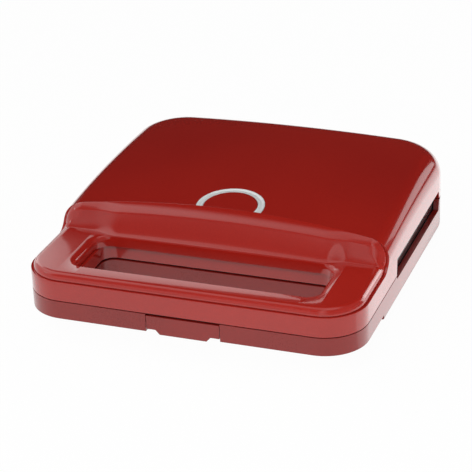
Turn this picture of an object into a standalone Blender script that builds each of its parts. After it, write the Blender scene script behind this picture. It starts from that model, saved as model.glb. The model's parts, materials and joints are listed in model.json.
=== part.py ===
"""A sandwich maker: a base and a hinged lid round two ribbed hot plates, a hand slot and a front latch.

Metres, +Z up. The front faces -Y and the hinge is at the back. The origin lies under the middle of the
whole object's box, hinge knuckles included, on the table.
"""

import math

import bmesh
import bpy
from mathutils import Matrix, Vector

# Body plan. Heights are over the table.
BODY_WIDTH = 0.230
BODY_DEPTH = 0.242
FRONT_CORNER = 0.0285
REAR_CORNER = 0.0366
SHELL_WALL = 0.0025

# Clearances.
SEAT_GAP = 0.0003
RUN_GAP = 0.0004
OVERRUN = 0.004
WELD = 0.000001

# The line between lid and base, from the height where the plates meet and from the hinge's axis. The sides
# are open, between a start behind the plates' front and an end before the back, to show the plates' rims.
PARTING_DROP = 0.0058
PARTING_GAP = 0.0007
SIDE_BASE_DROP = 0.0082
SIDE_LID_RISE = 0.0065
REAR_BASE_DROP = 0.0013
REAR_LID_RISE = 0.0002
GAP_SET_BACK = 0.0022
GAP_BACK = 0.037
GAP_RAMP = 0.0022

# Base tub: the belly's floor over the table, the handle bar's depth and the step down behind it.
HANDLE_DEPTH = 0.01235
HANDLE_STEP = 0.0040
HANDLE_SPARE = 0.0020
BOTTOM_ROUND = 0.0017
BELLY_BOTTOM = 0.0050
BELLY_INSET = 0.0130
BELLY_DRAFT = 0.0040

# Lid's crown: its height over the meeting plates, its highest point's distance from the back, how far it
# falls to the edges, and its rounded edge.
LID_RISE = 0.0357
CROWN_SIDE_FALL = 0.0035
CROWN_FRONT_FALL = 0.0170
CROWN_BACK = 0.053
LID_ROUND_FRONT = 0.012
LID_ROUND_REAR = 0.016

# Handle cap on the lid: the band under its seam, its flat over the seam, its skirt under it, and its end
# before the hot plates.
CAP_BAND = 0.01365
CAP_INSET = 0.0018
CAP_RISE = 0.0049
CAP_OFFSET = 0.0036
CAP_BOW = 0.0119
CAP_FILLET = 0.012
CAP_PROUD = 0.0008
CAP_WALL = 0.0022
SKIRT_DROP = 0.0027
EAR_SET_BACK = 0.005
CAP_SPARE = 0.024
EDGE_RUN = 0.003

# Hand slot through both halves, measured inside the cap, and the ears at its ends.
EAR_WIDTH = 0.0315
SLOT_FRONT = 0.0170
SLOT_REACH = 0.0460
SLOT_CORNER = 0.0115
SLOT_FLARE_END = 0.0065
SLOT_FLARE_FRONT = 0.0016
SLOT_FLARE_DEPTH = 0.0040
SLOT_SET_BACK = 0.0035
SLOT_TUBE_STEP = 0.0022

# Ring inlay on the lid, its centre behind the cap's back line.
RING_OFFSET = 0.0052
RING_RADIUS = 0.0232
RING_WIDTH = 0.0045
RING_DEPTH = 0.0008
RING_PROUD = 0.0002

# Hot plates, and the room between them and the hand slot.
PLATE_INSET = 0.0045
PLATE_SET_BACK = 0.0288
PLATE_FRONT_CORNER = 0.010
PLATE_RIM = 0.0070
PLATE_EDGE_ROUND = 0.0020
PLATE_WALL = 0.0026
WELL_DRAFT = 0.0040
MEETING_GAP = 0.0006
WELL_DEPTH = 0.0064
PLATE_SKIRT = 0.0014
RIB_PITCH = 0.0098
RIB_HEIGHT = 0.0022
RIB_FOOT = 0.0052
RIB_ROOT = 0.0009
RIB_CREST = 0.0022
RIB_MARGIN = 0.0040

# Hinge at the back: its axis over the meeting plates, and its distance in from each side.
HINGE_RADIUS = 0.0045
HINGE_STANDOFF = 0.0052
HINGE_RISE = 0.0005
HINGE_INSET = 0.041
LID_KNUCKLE = 0.0114
BASE_KNUCKLE = 0.0060
KNUCKLE_GAP = 0.0004
PIN_RADIUS = 0.00175
WEB_HEIGHT = 0.0108

# Latch at the front.
LATCH_WIDTH = 0.0498
LATCH_THICKNESS = 0.0024
LATCH_TOP_GAP = 0.0011
LATCH_HANG = 0.0013
LATCH_NOTCH = 0.0031
LATCH_TAB_WIDTH = 0.0320
LATCH_TAB_SLOPE = 0.0028
LATCH_PIVOT_BACK = 0.0075
LATCH_PIVOT_DROP = 0.00685
LATCH_PIN_RADIUS = 0.00125
HOOK_WIDTH = 0.014
HOOK_REACH = 0.0018
HOOK_THICKNESS = 0.0026
HOOK_HEAD = 0.0032

SPRING_WIRE = 0.00035
SPRING_RADIUS = 0.0022
SPRING_LEG = 0.0042
SPRING_END_GAP = 0.0014

# Rims, frames and plates inside the two halves.
RIM_WIDTH = 0.0040
RIM_DEPTH = 0.0033
SHELF_WIDTH = 0.0065
HANDLE_PLATE_THICKNESS = 0.0030
FRAME_THICKNESS = 0.0030
FRAME_WIDTH = 0.0200
FRAME_BOSS_RADIUS = 0.0038
PAD_HEIGHT = 0.0015

# Screws and feet.
SCREW_RADIUS = 0.0015
SCREW_HEAD = 0.0029
SCREW_HEAD_HEIGHT = 0.0018
SCREW_SLOT = 0.0008
BOSS_RADIUS = 0.0036
PAD_RADIUS = 0.0047
BASE_SCREW_INSET = 0.0195
BASE_SCREW_FRONT = 0.0060
BASE_SCREW_BACK = 0.0400
BASE_SCREW_LENGTH = 0.0110
LID_SCREW_INSET = 0.0140
LID_SCREW_FRONT = 0.0230
LID_SCREW_SET_BACK = 0.0130
LID_SCREW_LENGTH = 0.0075
FOOT_RADIUS = 0.0080
FOOT_TIP_RADIUS = 0.0070
FOOT_SEAT = 0.0011
FOOT_INSET = 0.0330
FOOT_SET_BACK = 0.0032
FOOT_BACK = 0.0300

# Heating, control and wiring, over the room for the wires in the belly.
WIRING_ROOM = 0.0108
ELEMENT_RADIUS = 0.00325
ELEMENT_INSET = 0.0350
ELEMENT_FRONT = 0.0290
ELEMENT_BACK = 0.0320
ELEMENT_BEND = 0.0150
ELEMENT_ENDS = 0.0140
ELEMENT_STUD_RADIUS = 0.0013
ELEMENT_STUD = 0.0090
SHIELD_THICKNESS = 0.0008
SHIELD_INSET = 0.0260
SHIELD_LIP = 0.0025
SHIELD_FRONT_GAP = 0.0012
THERMOSTAT_RADIUS = 0.0085
THERMOSTAT_HEIGHT = 0.0095
THERMOSTAT_STEP_RADIUS = 0.0065
THERMOSTAT_STEP = 0.0030
THERMOSTAT_OFFSET = 0.0034
FUSE_RADIUS = 0.0019
FUSE_LENGTH = 0.0120
FUSE_LEAD_RADIUS = 0.0006
FUSE_LEAD = 0.0080
TERMINAL_WIDTH = 0.0300
TERMINAL_DEPTH = 0.0120
TERMINAL_HEIGHT = 0.0080
TERMINAL_BACK = 0.0300
TERMINAL_HOLE = 0.0019
GLAND_RISE = 0.0072
GLAND_RADIUS = 0.0049
GLAND_FLANGE = 0.0062
GLAND_FLANGE_THICKNESS = 0.0016
GLAND_BORE = 0.0032
GLAND_SLEEVE = 0.0072
GLAND_TIP_RADIUS = 0.0043

# Places in the plan.
HINGE_PROUD = HINGE_STANDOFF + HINGE_RADIUS
BODY_Y = -HINGE_PROUD / 2
FRONT_Y = BODY_Y - BODY_DEPTH / 2
REAR_Y = BODY_Y + BODY_DEPTH / 2
HALF_WIDTH = BODY_WIDTH / 2
HINGE_Y = REAR_Y + HINGE_STANDOFF
LATCH_Y = FRONT_Y + LATCH_PIVOT_BACK
SLOT_WIDTH = BODY_WIDTH - 2 * EAR_WIDTH
SLOT_BACK = SLOT_FRONT + SLOT_REACH
HANDLE_LENGTH = SLOT_BACK + HANDLE_SPARE
EAR_FOOT = SLOT_BACK + EAR_SET_BACK
PLATE_FRONT = SLOT_BACK + PLATE_SET_BACK
CAP_BACK = PLATE_FRONT - CAP_OFFSET
RING_CENTRE = CAP_BACK + RING_OFFSET
GAP_START = PLATE_FRONT + GAP_SET_BACK
GAP_END = BODY_DEPTH - GAP_BACK
CROWN_PEAK = BODY_DEPTH - CROWN_BACK
HINGE_PLACE = HALF_WIDTH - HINGE_INSET
BASE_SCREW_X = HALF_WIDTH - BASE_SCREW_INSET
LID_SCREW_X = HALF_WIDTH - LID_SCREW_INSET
LID_SCREW_BACK = SLOT_BACK + LID_SCREW_SET_BACK
FOOT_X = HALF_WIDTH - FOOT_INSET
FOOT_FRONT = PLATE_FRONT + FOOT_SET_BACK
ELEMENT_X = HALF_WIDTH - ELEMENT_INSET
LOOP_FRONT = FRONT_Y + PLATE_FRONT + ELEMENT_FRONT
LOOP_BACK = REAR_Y - ELEMENT_BACK
THERMOSTAT_Y = (LOOP_FRONT + LOOP_BACK) / 2 - THERMOSTAT_OFFSET
FUSE_X = ELEMENT_X / 2

# Heights over the table, upwards from the belly's floor.
FLOOR_TOP = BELLY_BOTTOM + SHELL_WALL
FRAME_BOSS_FOOT = FLOOR_TOP + PAD_HEIGHT
SHIELD_HEIGHT = FLOOR_TOP + WIRING_ROOM + SHIELD_THICKNESS
ELEMENT_HEIGHT = SHIELD_HEIGHT + SEAT_GAP + ELEMENT_RADIUS
PLATE_BACK = ELEMENT_HEIGHT + ELEMENT_RADIUS + SEAT_GAP
LOWER_MEETING = PLATE_BACK + PLATE_WALL + WELL_DEPTH
MEETING_HEIGHT = LOWER_MEETING + MEETING_GAP / 2
UPPER_MEETING = MEETING_HEIGHT + MEETING_GAP / 2
FRAME_TOP = PLATE_BACK - PLATE_SKIRT - SEAT_GAP
SHELF_TOP = FRAME_TOP - FRAME_THICKNESS - SEAT_GAP
HINGE_HEIGHT = MEETING_HEIGHT + HINGE_RISE
REAR_BASE_TOP = HINGE_HEIGHT - REAR_BASE_DROP
REAR_LID_BOTTOM = HINGE_HEIGHT + REAR_LID_RISE
SIDE_BASE_TOP = MEETING_HEIGHT - SIDE_BASE_DROP
SIDE_LID_BOTTOM = MEETING_HEIGHT + SIDE_LID_RISE
FRONT_PARTING = MEETING_HEIGHT - PARTING_DROP
BASE_EDGE = FRONT_PARTING - PARTING_GAP / 2
LID_EDGE = FRONT_PARTING + PARTING_GAP / 2
HANDLE_BOTTOM = BASE_EDGE - HANDLE_DEPTH
SIDE_BOTTOM = HANDLE_BOTTOM - HANDLE_STEP
GLAND_HEIGHT = SIDE_BOTTOM + GLAND_RISE
LATCH_BOTTOM = HANDLE_BOTTOM - LATCH_HANG
LATCH_PIVOT_HEIGHT = BASE_EDGE - LATCH_PIVOT_DROP
CAP_SEAM = LID_EDGE + CAP_BAND
CAP_SKIRT = CAP_SEAM - SKIRT_DROP
CAP_FLAT = CAP_SEAM + CAP_RISE
LID_TOP = MEETING_HEIGHT + LID_RISE

# Shares of a named size.
WEB_NEAR_SHARE = 0.9
WEB_SHOULDER_SHARE = 0.66
LATCH_ROOM_SHARE = 0.6
EAR_WIDTH_SHARE = 1.5
EAR_REACH_SHARE = 0.46
HOOK_PLAY_SHARE = 0.3
HOOK_SWING_SHARE = 2.6
HOOK_NOSE_SHARE = 0.35
GLAND_RIB_SHARES = (0.25, 0.5, 0.7)

# How finely round shapes are cut.
CORNER_STEPS = 5
ROUND_STEPS = 5
PIPE_SIDES = 14
SIDE_STEPS = 4
SMALL_SIDES = 10
KNUCKLE_SIDES = 18
SMALL_ROUND_STEPS = 2
GLAND_RIBS = 3
SPRING_TURNS = 3
SPRING_POINTS = 8
CAP_CORNER_STEPS = 5
CAP_SIDE_SHARES = (0.25, 0.45, 0.55, 0.59, 0.625, 0.655, 0.685, 0.715, 0.745, 0.78, 0.9)
BOW_STEPS = 10
RING_STEPS = 28
CAP_COLUMN_SHARES = (0, 0.25, 0.45, 0.58, 0.63, 0.67, 0.71, 0.75, 0.84, 0.92, 1)
CAP_FACE_SHARES = (1, 0.9, 0.78, 0.66, 0.55, 0.44, 0.33, 0.22, 0.1, 0)
ACROSS_SHARES = (0.25, 0.5, 0.75)
FLARE_RUN_SHARE = 0.8
FLARE_STEPS = 3
FLARE_START = 15
EDGE_TURN = 80
HOOD_SHARES = (0.7, 0.4, 0.12)
BROW_SHARE = 0.44
BROW_DROP_SHARE = 0.24
BROW_BEND = 1.3
SLOPE_BEND = 1.5


def clear_scene():
    for obj in list(bpy.data.objects):
        bpy.data.objects.remove(obj, do_unlink=True)


clear_scene()
PARTS = bpy.data.collections.new("sandwich_maker")
CUTTERS = bpy.data.collections.new("cutters")
bpy.context.scene.collection.children.link(PARTS)
bpy.context.scene.collection.children.link(CUTTERS)


def material(name, colour, roughness, metallic=0.0):
    made = bpy.data.materials.new(name)
    made.use_nodes = True
    shader = made.node_tree.nodes["Principled BSDF"]
    shader.inputs["Base Color"].default_value = (*colour, 1.0)
    shader.inputs["Roughness"].default_value = roughness
    shader.inputs["Metallic"].default_value = metallic
    return made


RED_GLOSS = material("red_gloss_plastic", (0.30, 0.012, 0.010), 0.15)
BLACK_PLASTIC = material("black_plastic", (0.02, 0.02, 0.02), 0.5)
CHROME = material("chrome_trim", (0.75, 0.78, 0.78), 0.12, 1.0)
NON_STICK = material("non_stick_aluminium", (0.025, 0.025, 0.027), 0.35, 0.2)
STEEL = material("plated_steel", (0.55, 0.56, 0.57), 0.35, 1.0)
ALUMINIUM = material("aluminium_sheet", (0.75, 0.76, 0.78), 0.45, 1.0)
RUBBER = material("rubber", (0.03, 0.03, 0.03), 0.8)
CERAMIC = material("ceramic", (0.80, 0.76, 0.68), 0.7)


def link(obj, finish=None):
    """Puts an object among the parts, or with no finish among the hidden cutters."""
    if finish is None:
        CUTTERS.objects.link(obj)
        obj.hide_render = True
        obj.display_type = "WIRE"
    else:
        PARTS.objects.link(obj)
        obj.data.materials.append(finish)
    return obj


def mesh_object(name, mesh, finish=None):
    made = bpy.data.meshes.new(name)
    bmesh.ops.recalc_face_normals(mesh, faces=mesh.faces)
    mesh.to_mesh(made)
    mesh.free()
    return link(bpy.data.objects.new(name, made), finish)


def loft(name, rings, finish=None, closed=True, around=False):
    """Joins rings of equally many points. Its two ends are filled, or with around set they meet."""
    mesh = bmesh.new()
    rows = [[mesh.verts.new(point) for point in ring] for ring in rings]
    pairs = list(zip(rows, rows[1:]))
    if around:
        pairs.append((rows[-1], rows[0]))
    for low, high in pairs:
        for i in range(len(low)):
            j = (i + 1) % len(low)
            mesh.faces.new((low[i], low[j], high[j], high[i]))
    if closed and not around:
        mesh.faces.new(rows[0])
        mesh.faces.new(rows[-1])
    return mesh_object(name, mesh, finish)


def prism(name, outline, bottom, top, finish=None):
    """An outline in the plan, raised from one height to another."""
    rings = [[(x, y, z) for x, y in outline] for z in (bottom, top)]
    return loft(name, rings, finish)


def side_prism(name, outline, left, right, finish=None):
    """An outline in Y and Z, drawn across from one X to another."""
    rings = [[(x, y, z) for y, z in outline] for x in (left, right)]
    return loft(name, rings, finish)


def box(name, low, high, finish=None):
    mesh = bmesh.new()
    size = [b - a for a, b in zip(low, high)]
    middle = [(a + b) / 2 for a, b in zip(low, high)]
    bmesh.ops.create_cube(mesh, size=1.0, matrix=Matrix.Translation(middle) @ Matrix.Diagonal((*size, 1.0)))
    return mesh_object(name, mesh, finish)


def rod(name, centre, radius, length, axis="Z", finish=None, sides=PIPE_SIDES, end_radius=None):
    """A cylinder or cone about its centre."""
    mesh = bmesh.new()
    quarter = math.pi / 2
    turn = {"Z": Matrix(), "X": Matrix.Rotation(quarter, 4, "Y"), "Y": Matrix.Rotation(quarter, 4, "X")}
    far = radius if end_radius is None else end_radius
    bmesh.ops.create_cone(mesh, cap_ends=True, segments=sides, radius1=radius, radius2=far, depth=length,
                          matrix=Matrix.Translation(centre) @ turn[axis])
    return mesh_object(name, mesh, finish)


def combine(obj, other, operation):
    change = obj.modifiers.new(f"{operation.lower()} {other.name}", "BOOLEAN")
    change.operation = operation
    change.object = other
    change.solver = "EXACT"
    return obj


def cut(obj, *cutters):
    for cutter in cutters:
        combine(obj, cutter, "DIFFERENCE")
    return obj


def join(obj, *others):
    for other in others:
        combine(obj, other, "UNION")
    return obj


def arc(centre_x, centre_y, radius, start, steps=CORNER_STEPS, radius_y=None):
    """A quarter turn of points from an angle in degrees."""
    tall = radius if radius_y is None else radius_y
    angles = [math.radians(start + 90 * i / steps) for i in range(steps + 1)]
    return [(centre_x + radius * math.cos(a), centre_y + tall * math.sin(a)) for a in angles]


def rounded(left, right, front, back, front_radius, back_radius, steps=CORNER_STEPS, between=0):
    """A rounded rectangle, anticlockwise from the middle of its front right corner's start."""
    front_right = arc(right - front_radius, front + front_radius, front_radius, -90, steps)
    back_right = arc(right - back_radius, back - back_radius, back_radius, 0, steps)
    back_left = arc(left + back_radius, back - back_radius, back_radius, 90, steps)
    front_left = arc(left + front_radius, front + front_radius, front_radius, 180, steps)
    points = []
    corners = [front_right, back_right, back_left, front_left]
    for corner, following in zip(corners, corners[1:] + corners[:1]):
        points += corner
        start, end = Vector(corner[-1]), Vector(following[0])
        points += [tuple(start.lerp(end, (k + 1) / (between + 1))) for k in range(between)]
    return points


def body_plan(inset, between):
    """The body's outline seen from above, moved inwards."""
    front_radius = max(FRONT_CORNER - inset, SHELL_WALL)
    rear_radius = max(REAR_CORNER - inset, SHELL_WALL)
    side = HALF_WIDTH - inset
    return rounded(-side, side, FRONT_Y + inset, REAR_Y - inset, front_radius, rear_radius, between=between)


def slot_plan(grow, steps=CORNER_STEPS):
    """The hand slot's outline seen from above, moved outwards."""
    side = SLOT_WIDTH / 2 + grow
    radius = SLOT_CORNER + grow
    front, back = FRONT_Y + SLOT_FRONT - grow, FRONT_Y + SLOT_BACK + grow
    return rounded(-side, side, front, back, radius, radius, steps)


def tube_plan(grow, steps=CORNER_STEPS):
    """The outline of the slot's walls below the cap, which lie further back and closer together."""
    side = SLOT_WIDTH / 2 - SLOT_TUBE_STEP + grow
    front = FRONT_Y + SLOT_FRONT + SLOT_TUBE_STEP - grow
    back = FRONT_Y + SLOT_BACK + SLOT_SET_BACK + grow
    radius = SLOT_CORNER - SLOT_TUBE_STEP + grow
    return rounded(-side, side, front, back, radius, radius, steps)


def smooth(low, high, value):
    share = min(max((value - low) / (high - low), 0.0), 1.0)
    return share * share * (3 - 2 * share)


def crown(x, y):
    """The height of the lid's crowned top, before its edge is rounded."""
    peak = FRONT_Y + CROWN_PEAK
    side_share = (x / HALF_WIDTH) ** 2
    front_share = ((y - peak) / CROWN_PEAK) ** 2
    return LID_TOP - CROWN_SIDE_FALL * side_share - CROWN_FRONT_FALL * front_share


def lid_round(y):
    """The radius of the lid's rounded edge, larger towards the back."""
    return LID_ROUND_FRONT + (LID_ROUND_REAR - LID_ROUND_FRONT) * smooth(FRONT_Y + CAP_BACK, REAR_Y, y)


def hood_rings(inset, base, steps):
    """Rings up the lid's wall, round its edge and in over its crown."""
    between = SIDE_STEPS if inset == 0 else SIDE_STEPS // 2
    foot = body_plan(inset, between)
    rings = [[(x, y, base) for x, y in foot]]
    inner = body_plan(inset + LID_ROUND_REAR, between)
    for i in range(steps + 1):
        angle = math.pi / 2 * i / steps
        ring = []
        for (x, y), (inner_x, inner_y) in zip(foot, inner):
            radius = lid_round(y)
            share = (1 - math.cos(angle)) * radius / LID_ROUND_REAR
            px, py = x + (inner_x - x) * share, y + (inner_y - y) * share
            ring.append((px, py, crown(px, py) - inset - radius * (1 - math.sin(angle))))
        rings.append(ring)
    last = rings[-1]
    middle = Vector((0.0, BODY_Y, 0.0))
    for share in HOOD_SHARES:
        ring = []
        for x, y, _ in last:
            px, py = middle.x + (x - middle.x) * share, middle.y + (y - middle.y) * share
            ring.append((px, py, crown(px, py) - inset))
        rings.append(ring)
    return rings


def cap_back(x):
    """The line across the lid where the handle cap ends."""
    return FRONT_Y + CAP_BACK - CAP_BOW * (x / HALF_WIDTH) ** 2


def cap_space(name, gap, floor):
    """The room that the cap takes from the lid: everything in front of its back line and over its deck."""
    half = HALF_WIDTH + OVERRUN
    bend = [math.radians(90 * i / ROUND_STEPS) for i in range(ROUND_STEPS + 1)]
    rings = []
    for k in range(BOW_STEPS + 1):
        x = half * (2 * k / BOW_STEPS - 1)
        back = cap_back(x) + gap
        ring = [(x, FRONT_Y - OVERRUN, LID_TOP + OVERRUN), (x, FRONT_Y - OVERRUN, floor)]
        ring += [(x, back - CAP_FILLET * (1 - math.sin(a)), floor + CAP_FILLET * (1 - math.cos(a)))
                 for a in bend]
        ring.append((x, back, LID_TOP + OVERRUN))
        rings.append(ring)
    return loft(name, rings)


def parting_line(front, side, rear):
    """The side view of a half's edge: its heights at the handle, along the open sides and at the back."""
    start, end = FRONT_Y + GAP_START, FRONT_Y + GAP_END
    return [(FRONT_Y - OVERRUN, front), (start, front), (start + GAP_RAMP / 2, side),
            (end, side), (end + GAP_RAMP, rear), (REAR_Y + OVERRUN, rear)]


def make_lid_cover():
    """The lid's shell: a crowned hood with a deck for the cap and walls round the hand slot."""
    cover = loft("lid_cover", hood_rings(0.0, FRONT_PARTING - OVERRUN, ROUND_STEPS), RED_GLOSS)
    edge = parting_line(LID_EDGE, SIDE_LID_BOTTOM, REAR_LID_BOTTOM)
    below = [(REAR_Y + OVERRUN, -OVERRUN), (FRONT_Y - OVERRUN, -OVERRUN)]
    under = side_prism("lid_edge_cutter", edge + below, -HALF_WIDTH - OVERRUN, HALF_WIDTH + OVERRUN)
    cap_room = cap_space("cap_room_cutter", SEAT_GAP, CAP_SEAM - SEAT_GAP)
    hollow = loft("lid_hollow", hood_rings(SHELL_WALL, -OVERRUN, ROUND_STEPS - 2))
    roof = cap_space("lid_hollow_roof", SEAT_GAP + SHELL_WALL, CAP_SEAM - SEAT_GAP - SHELL_WALL)
    tube = prism("lid_tube_core", tube_plan(SHELL_WALL), -HALF_WIDTH, HALF_WIDTH)
    cut(hollow, roof, tube)
    mouth = prism("lid_slot_cutter", tube_plan(0.0), -OVERRUN, LID_TOP)
    skirt_room = prism("cap_skirt_cutter", slot_plan(CAP_WALL + SEAT_GAP), CAP_SKIRT - SEAT_GAP, LID_TOP)
    cut(cover, under, cap_room, hollow, mouth, skirt_room)
    return cover


def slope_foot(x):
    """The line where the cap's slope meets its flat: behind the slot, and further back beside it."""
    inner = SLOT_WIDTH / 2 - SLOT_CORNER
    outer = SLOT_WIDTH / 2 + SLOT_FLARE_END
    return FRONT_Y + SLOT_BACK + (EAR_FOOT - SLOT_BACK) * smooth(inner, outer, abs(x))


def cap_height(x, y):
    """The cap's top before its outer edge is rounded: flat round the slot, a brow up to its back line."""
    back = cap_back(x)
    ridge = crown(x, back) + CAP_PROUD
    share = (back - y) / (back - slope_foot(x))
    if share <= 0:
        return ridge
    if share >= 1:
        return CAP_FLAT
    if share < BROW_SHARE:
        part = 1 - BROW_DROP_SHARE * (share / BROW_SHARE) ** BROW_BEND
    else:
        part = (1 - BROW_DROP_SHARE) * ((1 - share) / (1 - BROW_SHARE)) ** SLOPE_BEND
    return CAP_FLAT + (ridge - CAP_FLAT) * part


def stretch(start, end, shares):
    """Points at shares of the way between two ends."""
    return [tuple(Vector(start).lerp(Vector(end), share)) for share in shares]


def four_sides(half, front, back, front_radius, back_radius, side_shares=()):
    """A rounded outline with a point at each share of its long sides, and some across front and back."""
    front_right = arc(half - front_radius, front + front_radius, front_radius, -90, CAP_CORNER_STEPS)
    back_right = arc(half - back_radius, back - back_radius, back_radius, 0, CAP_CORNER_STEPS)
    right = front_right + stretch(front_right[-1], back_right[0], side_shares) + back_right
    left = [(-x, y) for x, y in reversed(right)]
    behind = stretch(right[-1], left[0], ACROSS_SHARES)
    before = stretch(left[-1], right[0], ACROSS_SHARES)
    return right + behind + left + before


def cap_face(name, shift, drop):
    """Everything under the cap's top surface, with that surface moved back and down."""
    half = HALF_WIDTH + OVERRUN
    floor = CAP_SKIRT - 2 * OVERRUN
    rings = []
    for across in [-share for share in reversed(CAP_COLUMN_SHARES)] + list(CAP_COLUMN_SHARES[1:]):
        x = half * across
        back, foot = cap_back(x), slope_foot(x)
        end = back + CAP_SPARE + LID_ROUND_REAR
        ring = [(x, FRONT_Y - OVERRUN, floor), (x, FRONT_Y - OVERRUN, CAP_FLAT - drop)]
        for y in [back - (back - foot) * share for share in CAP_FACE_SHARES]:
            ring.append((x, y + shift, cap_height(x, y) - drop))
        rings.append(ring + [(x, end, cap_height(x, end) - drop), (x, end, floor)])
    return loft(name, rings)


def cap_block(name, wall, foot, finish=None):
    """The cap's solid block with its rounded edge, or with a wall given the room inside that wall."""
    front, back = FRONT_Y + CAP_INSET, FRONT_Y + CAP_BACK + CAP_SPARE
    plan = four_sides(HALF_WIDTH - CAP_INSET, front, back, FRONT_CORNER - CAP_INSET, LID_ROUND_REAR,
                      CAP_SIDE_SHARES)
    outline = [Vector(p) for p in plan]
    rings = [[], []] + [[] for _ in range(ROUND_STEPS)] + [[], []]
    for i, point in enumerate(outline):
        along = outline[(i + 1) % len(outline)] - outline[i - 1]
        turn = Vector((-along.y, along.x)).normalized()
        probe = point + turn * LID_ROUND_FRONT
        bend = min(LID_ROUND_FRONT, cap_height(probe.x, probe.y) - CAP_SEAM)
        inside = point + turn * bend
        top = cap_height(inside.x, inside.y) - wall
        bend = bend - wall
        low = point + turn * wall
        rings[0].append((low.x, low.y, foot))
        for k in range(ROUND_STEPS + 1):
            angle = math.radians(EDGE_TURN * k / ROUND_STEPS)
            place = low + turn * bend * (1 - math.cos(angle))
            rings[k + 1].append((place.x, place.y, top - bend * (1 - math.sin(angle))))
        rise = EDGE_RUN / math.tan(math.radians(EDGE_TURN))
        out = low + turn * (bend * (1 - math.cos(math.radians(EDGE_TURN))) + EDGE_RUN)
        rings[-2].append((out.x, out.y, rings[-3][-1][2] + rise))
        rings[-1].append((out.x, out.y, LID_TOP + OVERRUN))
    block = loft(name, rings, finish)
    return combine(block, cap_face(name + "_face", wall, wall), "INTERSECT")


def slot_flare():
    """The cutter for the cap's hand slot, whose edge rolls over into the top surface."""
    half = SLOT_WIDTH / 2
    front, back = FRONT_Y + SLOT_FRONT, FRONT_Y + SLOT_BACK
    top = four_sides(half + SLOT_FLARE_END, front - SLOT_FLARE_FRONT, back + SEAT_GAP,
                     SLOT_CORNER + SLOT_FLARE_FRONT, SLOT_CORNER + SLOT_FLARE_FRONT)
    wall = four_sides(half, front, back, SLOT_CORNER, SLOT_CORNER)
    start = math.radians(FLARE_START)
    steps = [(start, FLARE_RUN_SHARE)] + [(start, 0.0)]
    steps += [(start + (math.pi / 2 - start) * (k + 1) / FLARE_STEPS, 0.0) for k in range(FLARE_STEPS)]
    rings = []
    for angle, run in steps:
        across = math.sin(angle) - run * math.cos(angle)
        fall = 1 - math.cos(angle) - run * math.sin(angle)
        ring = []
        for (top_x, top_y), (wall_x, wall_y) in zip(top, wall):
            ring.append((top_x + (wall_x - top_x) * across, top_y + (wall_y - top_y) * across,
                         cap_height(top_x, top_y) - SLOT_FLARE_DEPTH * fall))
        rings.append(ring)
    above = [(x, y, LID_TOP + OVERRUN) for x, y, _ in rings[0]]
    below = [(x, y, CAP_SKIRT - OVERRUN) for x, y in wall]
    return loft("cap_slot_cutter", [above] + rings + [below])


def behind_cap(name, gap):
    """Everything behind the cap's back line, and under the fillet where the line turns into the seam."""
    half = HALF_WIDTH + OVERRUN
    end = FRONT_Y + CAP_BACK + CAP_SPARE + OVERRUN
    rings = []
    for k in range(BOW_STEPS + 1):
        x = half * (2 * k / BOW_STEPS - 1)
        back = cap_back(x) - gap
        bend = [math.radians(90 * i / ROUND_STEPS) for i in range(ROUND_STEPS + 1)]
        ring = [(x, end, LID_TOP + OVERRUN), (x, back, LID_TOP + OVERRUN)]
        ring += [(x, back - CAP_FILLET * (1 - math.cos(a)), CAP_SEAM + gap + CAP_FILLET * (1 - math.sin(a)))
                 for a in bend]
        ring += [(x, back - CAP_FILLET, CAP_SEAM - OVERRUN), (x, end, CAP_SEAM - OVERRUN)]
        rings.append(ring)
    return loft(name, rings)


def make_handle_cap():
    """The handle cap: a moulded shell with a brow at the back and a flared hand slot."""
    cap = cap_block("handle_cap", 0.0, CAP_SEAM, RED_GLOSS)
    cut(cap, behind_cap("cap_back_cutter", 0.0))
    join(cap, prism("cap_skirt", slot_plan(CAP_WALL), CAP_SKIRT, CAP_SEAM + CAP_WALL))
    hollow = cap_block("cap_hollow", CAP_WALL, CAP_SKIRT - OVERRUN)
    core = prism("cap_slot_core", slot_plan(CAP_WALL), 0.0, LID_TOP)
    cut(hollow, behind_cap("cap_hollow_back", CAP_WALL), core)
    return cut(cap, hollow, slot_flare())


def crowned_ring(name, outer, inner, low, high, finish=None):
    """A flat ring that follows the lid's crown between two depths."""
    centre_y = FRONT_Y + RING_CENTRE
    rings = []
    for radius, height in ((outer, low), (outer, high), (inner, high), (inner, low)):
        ring = []
        for k in range(RING_STEPS):
            angle = 2 * math.pi * k / RING_STEPS
            x, y = radius * math.cos(angle), centre_y + radius * math.sin(angle)
            ring.append((x, y, crown(x, y) + height))
        rings.append(ring)
    return loft(name, rings, finish, around=True)


def make_trim_ring():
    """The chrome ring set in the lid, cut off where the cap's brow passes over it."""
    ring = crowned_ring("trim_ring", RING_RADIUS, RING_RADIUS - RING_WIDTH, -RING_DEPTH, RING_PROUD, CHROME)
    return cut(ring, cap_space("ring_cap_cutter", SEAT_GAP + RUN_GAP, CAP_SEAM))


def ring_groove():
    """The groove in the lid that the chrome ring lies in."""
    outer, inner = RING_RADIUS + SEAT_GAP, RING_RADIUS - RING_WIDTH - SEAT_GAP
    return crowned_ring("ring_groove_cutter", outer, inner, -RING_DEPTH - SEAT_GAP, OVERRUN)


def room_plan(inset, start):
    """A half's inside behind a line across it, moved in from the body's outline."""
    side = HALF_WIDTH - inset
    front_radius = PLATE_FRONT_CORNER
    return rounded(-side, side, FRONT_Y + start, REAR_Y - inset, front_radius, REAR_CORNER - inset)


def handle_plan(inset, end):
    """A half's inside in front of a line across it, moved in from the body's outline."""
    side = HALF_WIDTH - inset
    radius = FRONT_CORNER - inset
    outline = arc(-side + radius, FRONT_Y + inset + radius, radius, 180)
    outline += arc(side - radius, FRONT_Y + inset + radius, radius, 270)
    return outline + [(side, FRONT_Y + end), (-side, FRONT_Y + end)]


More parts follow.
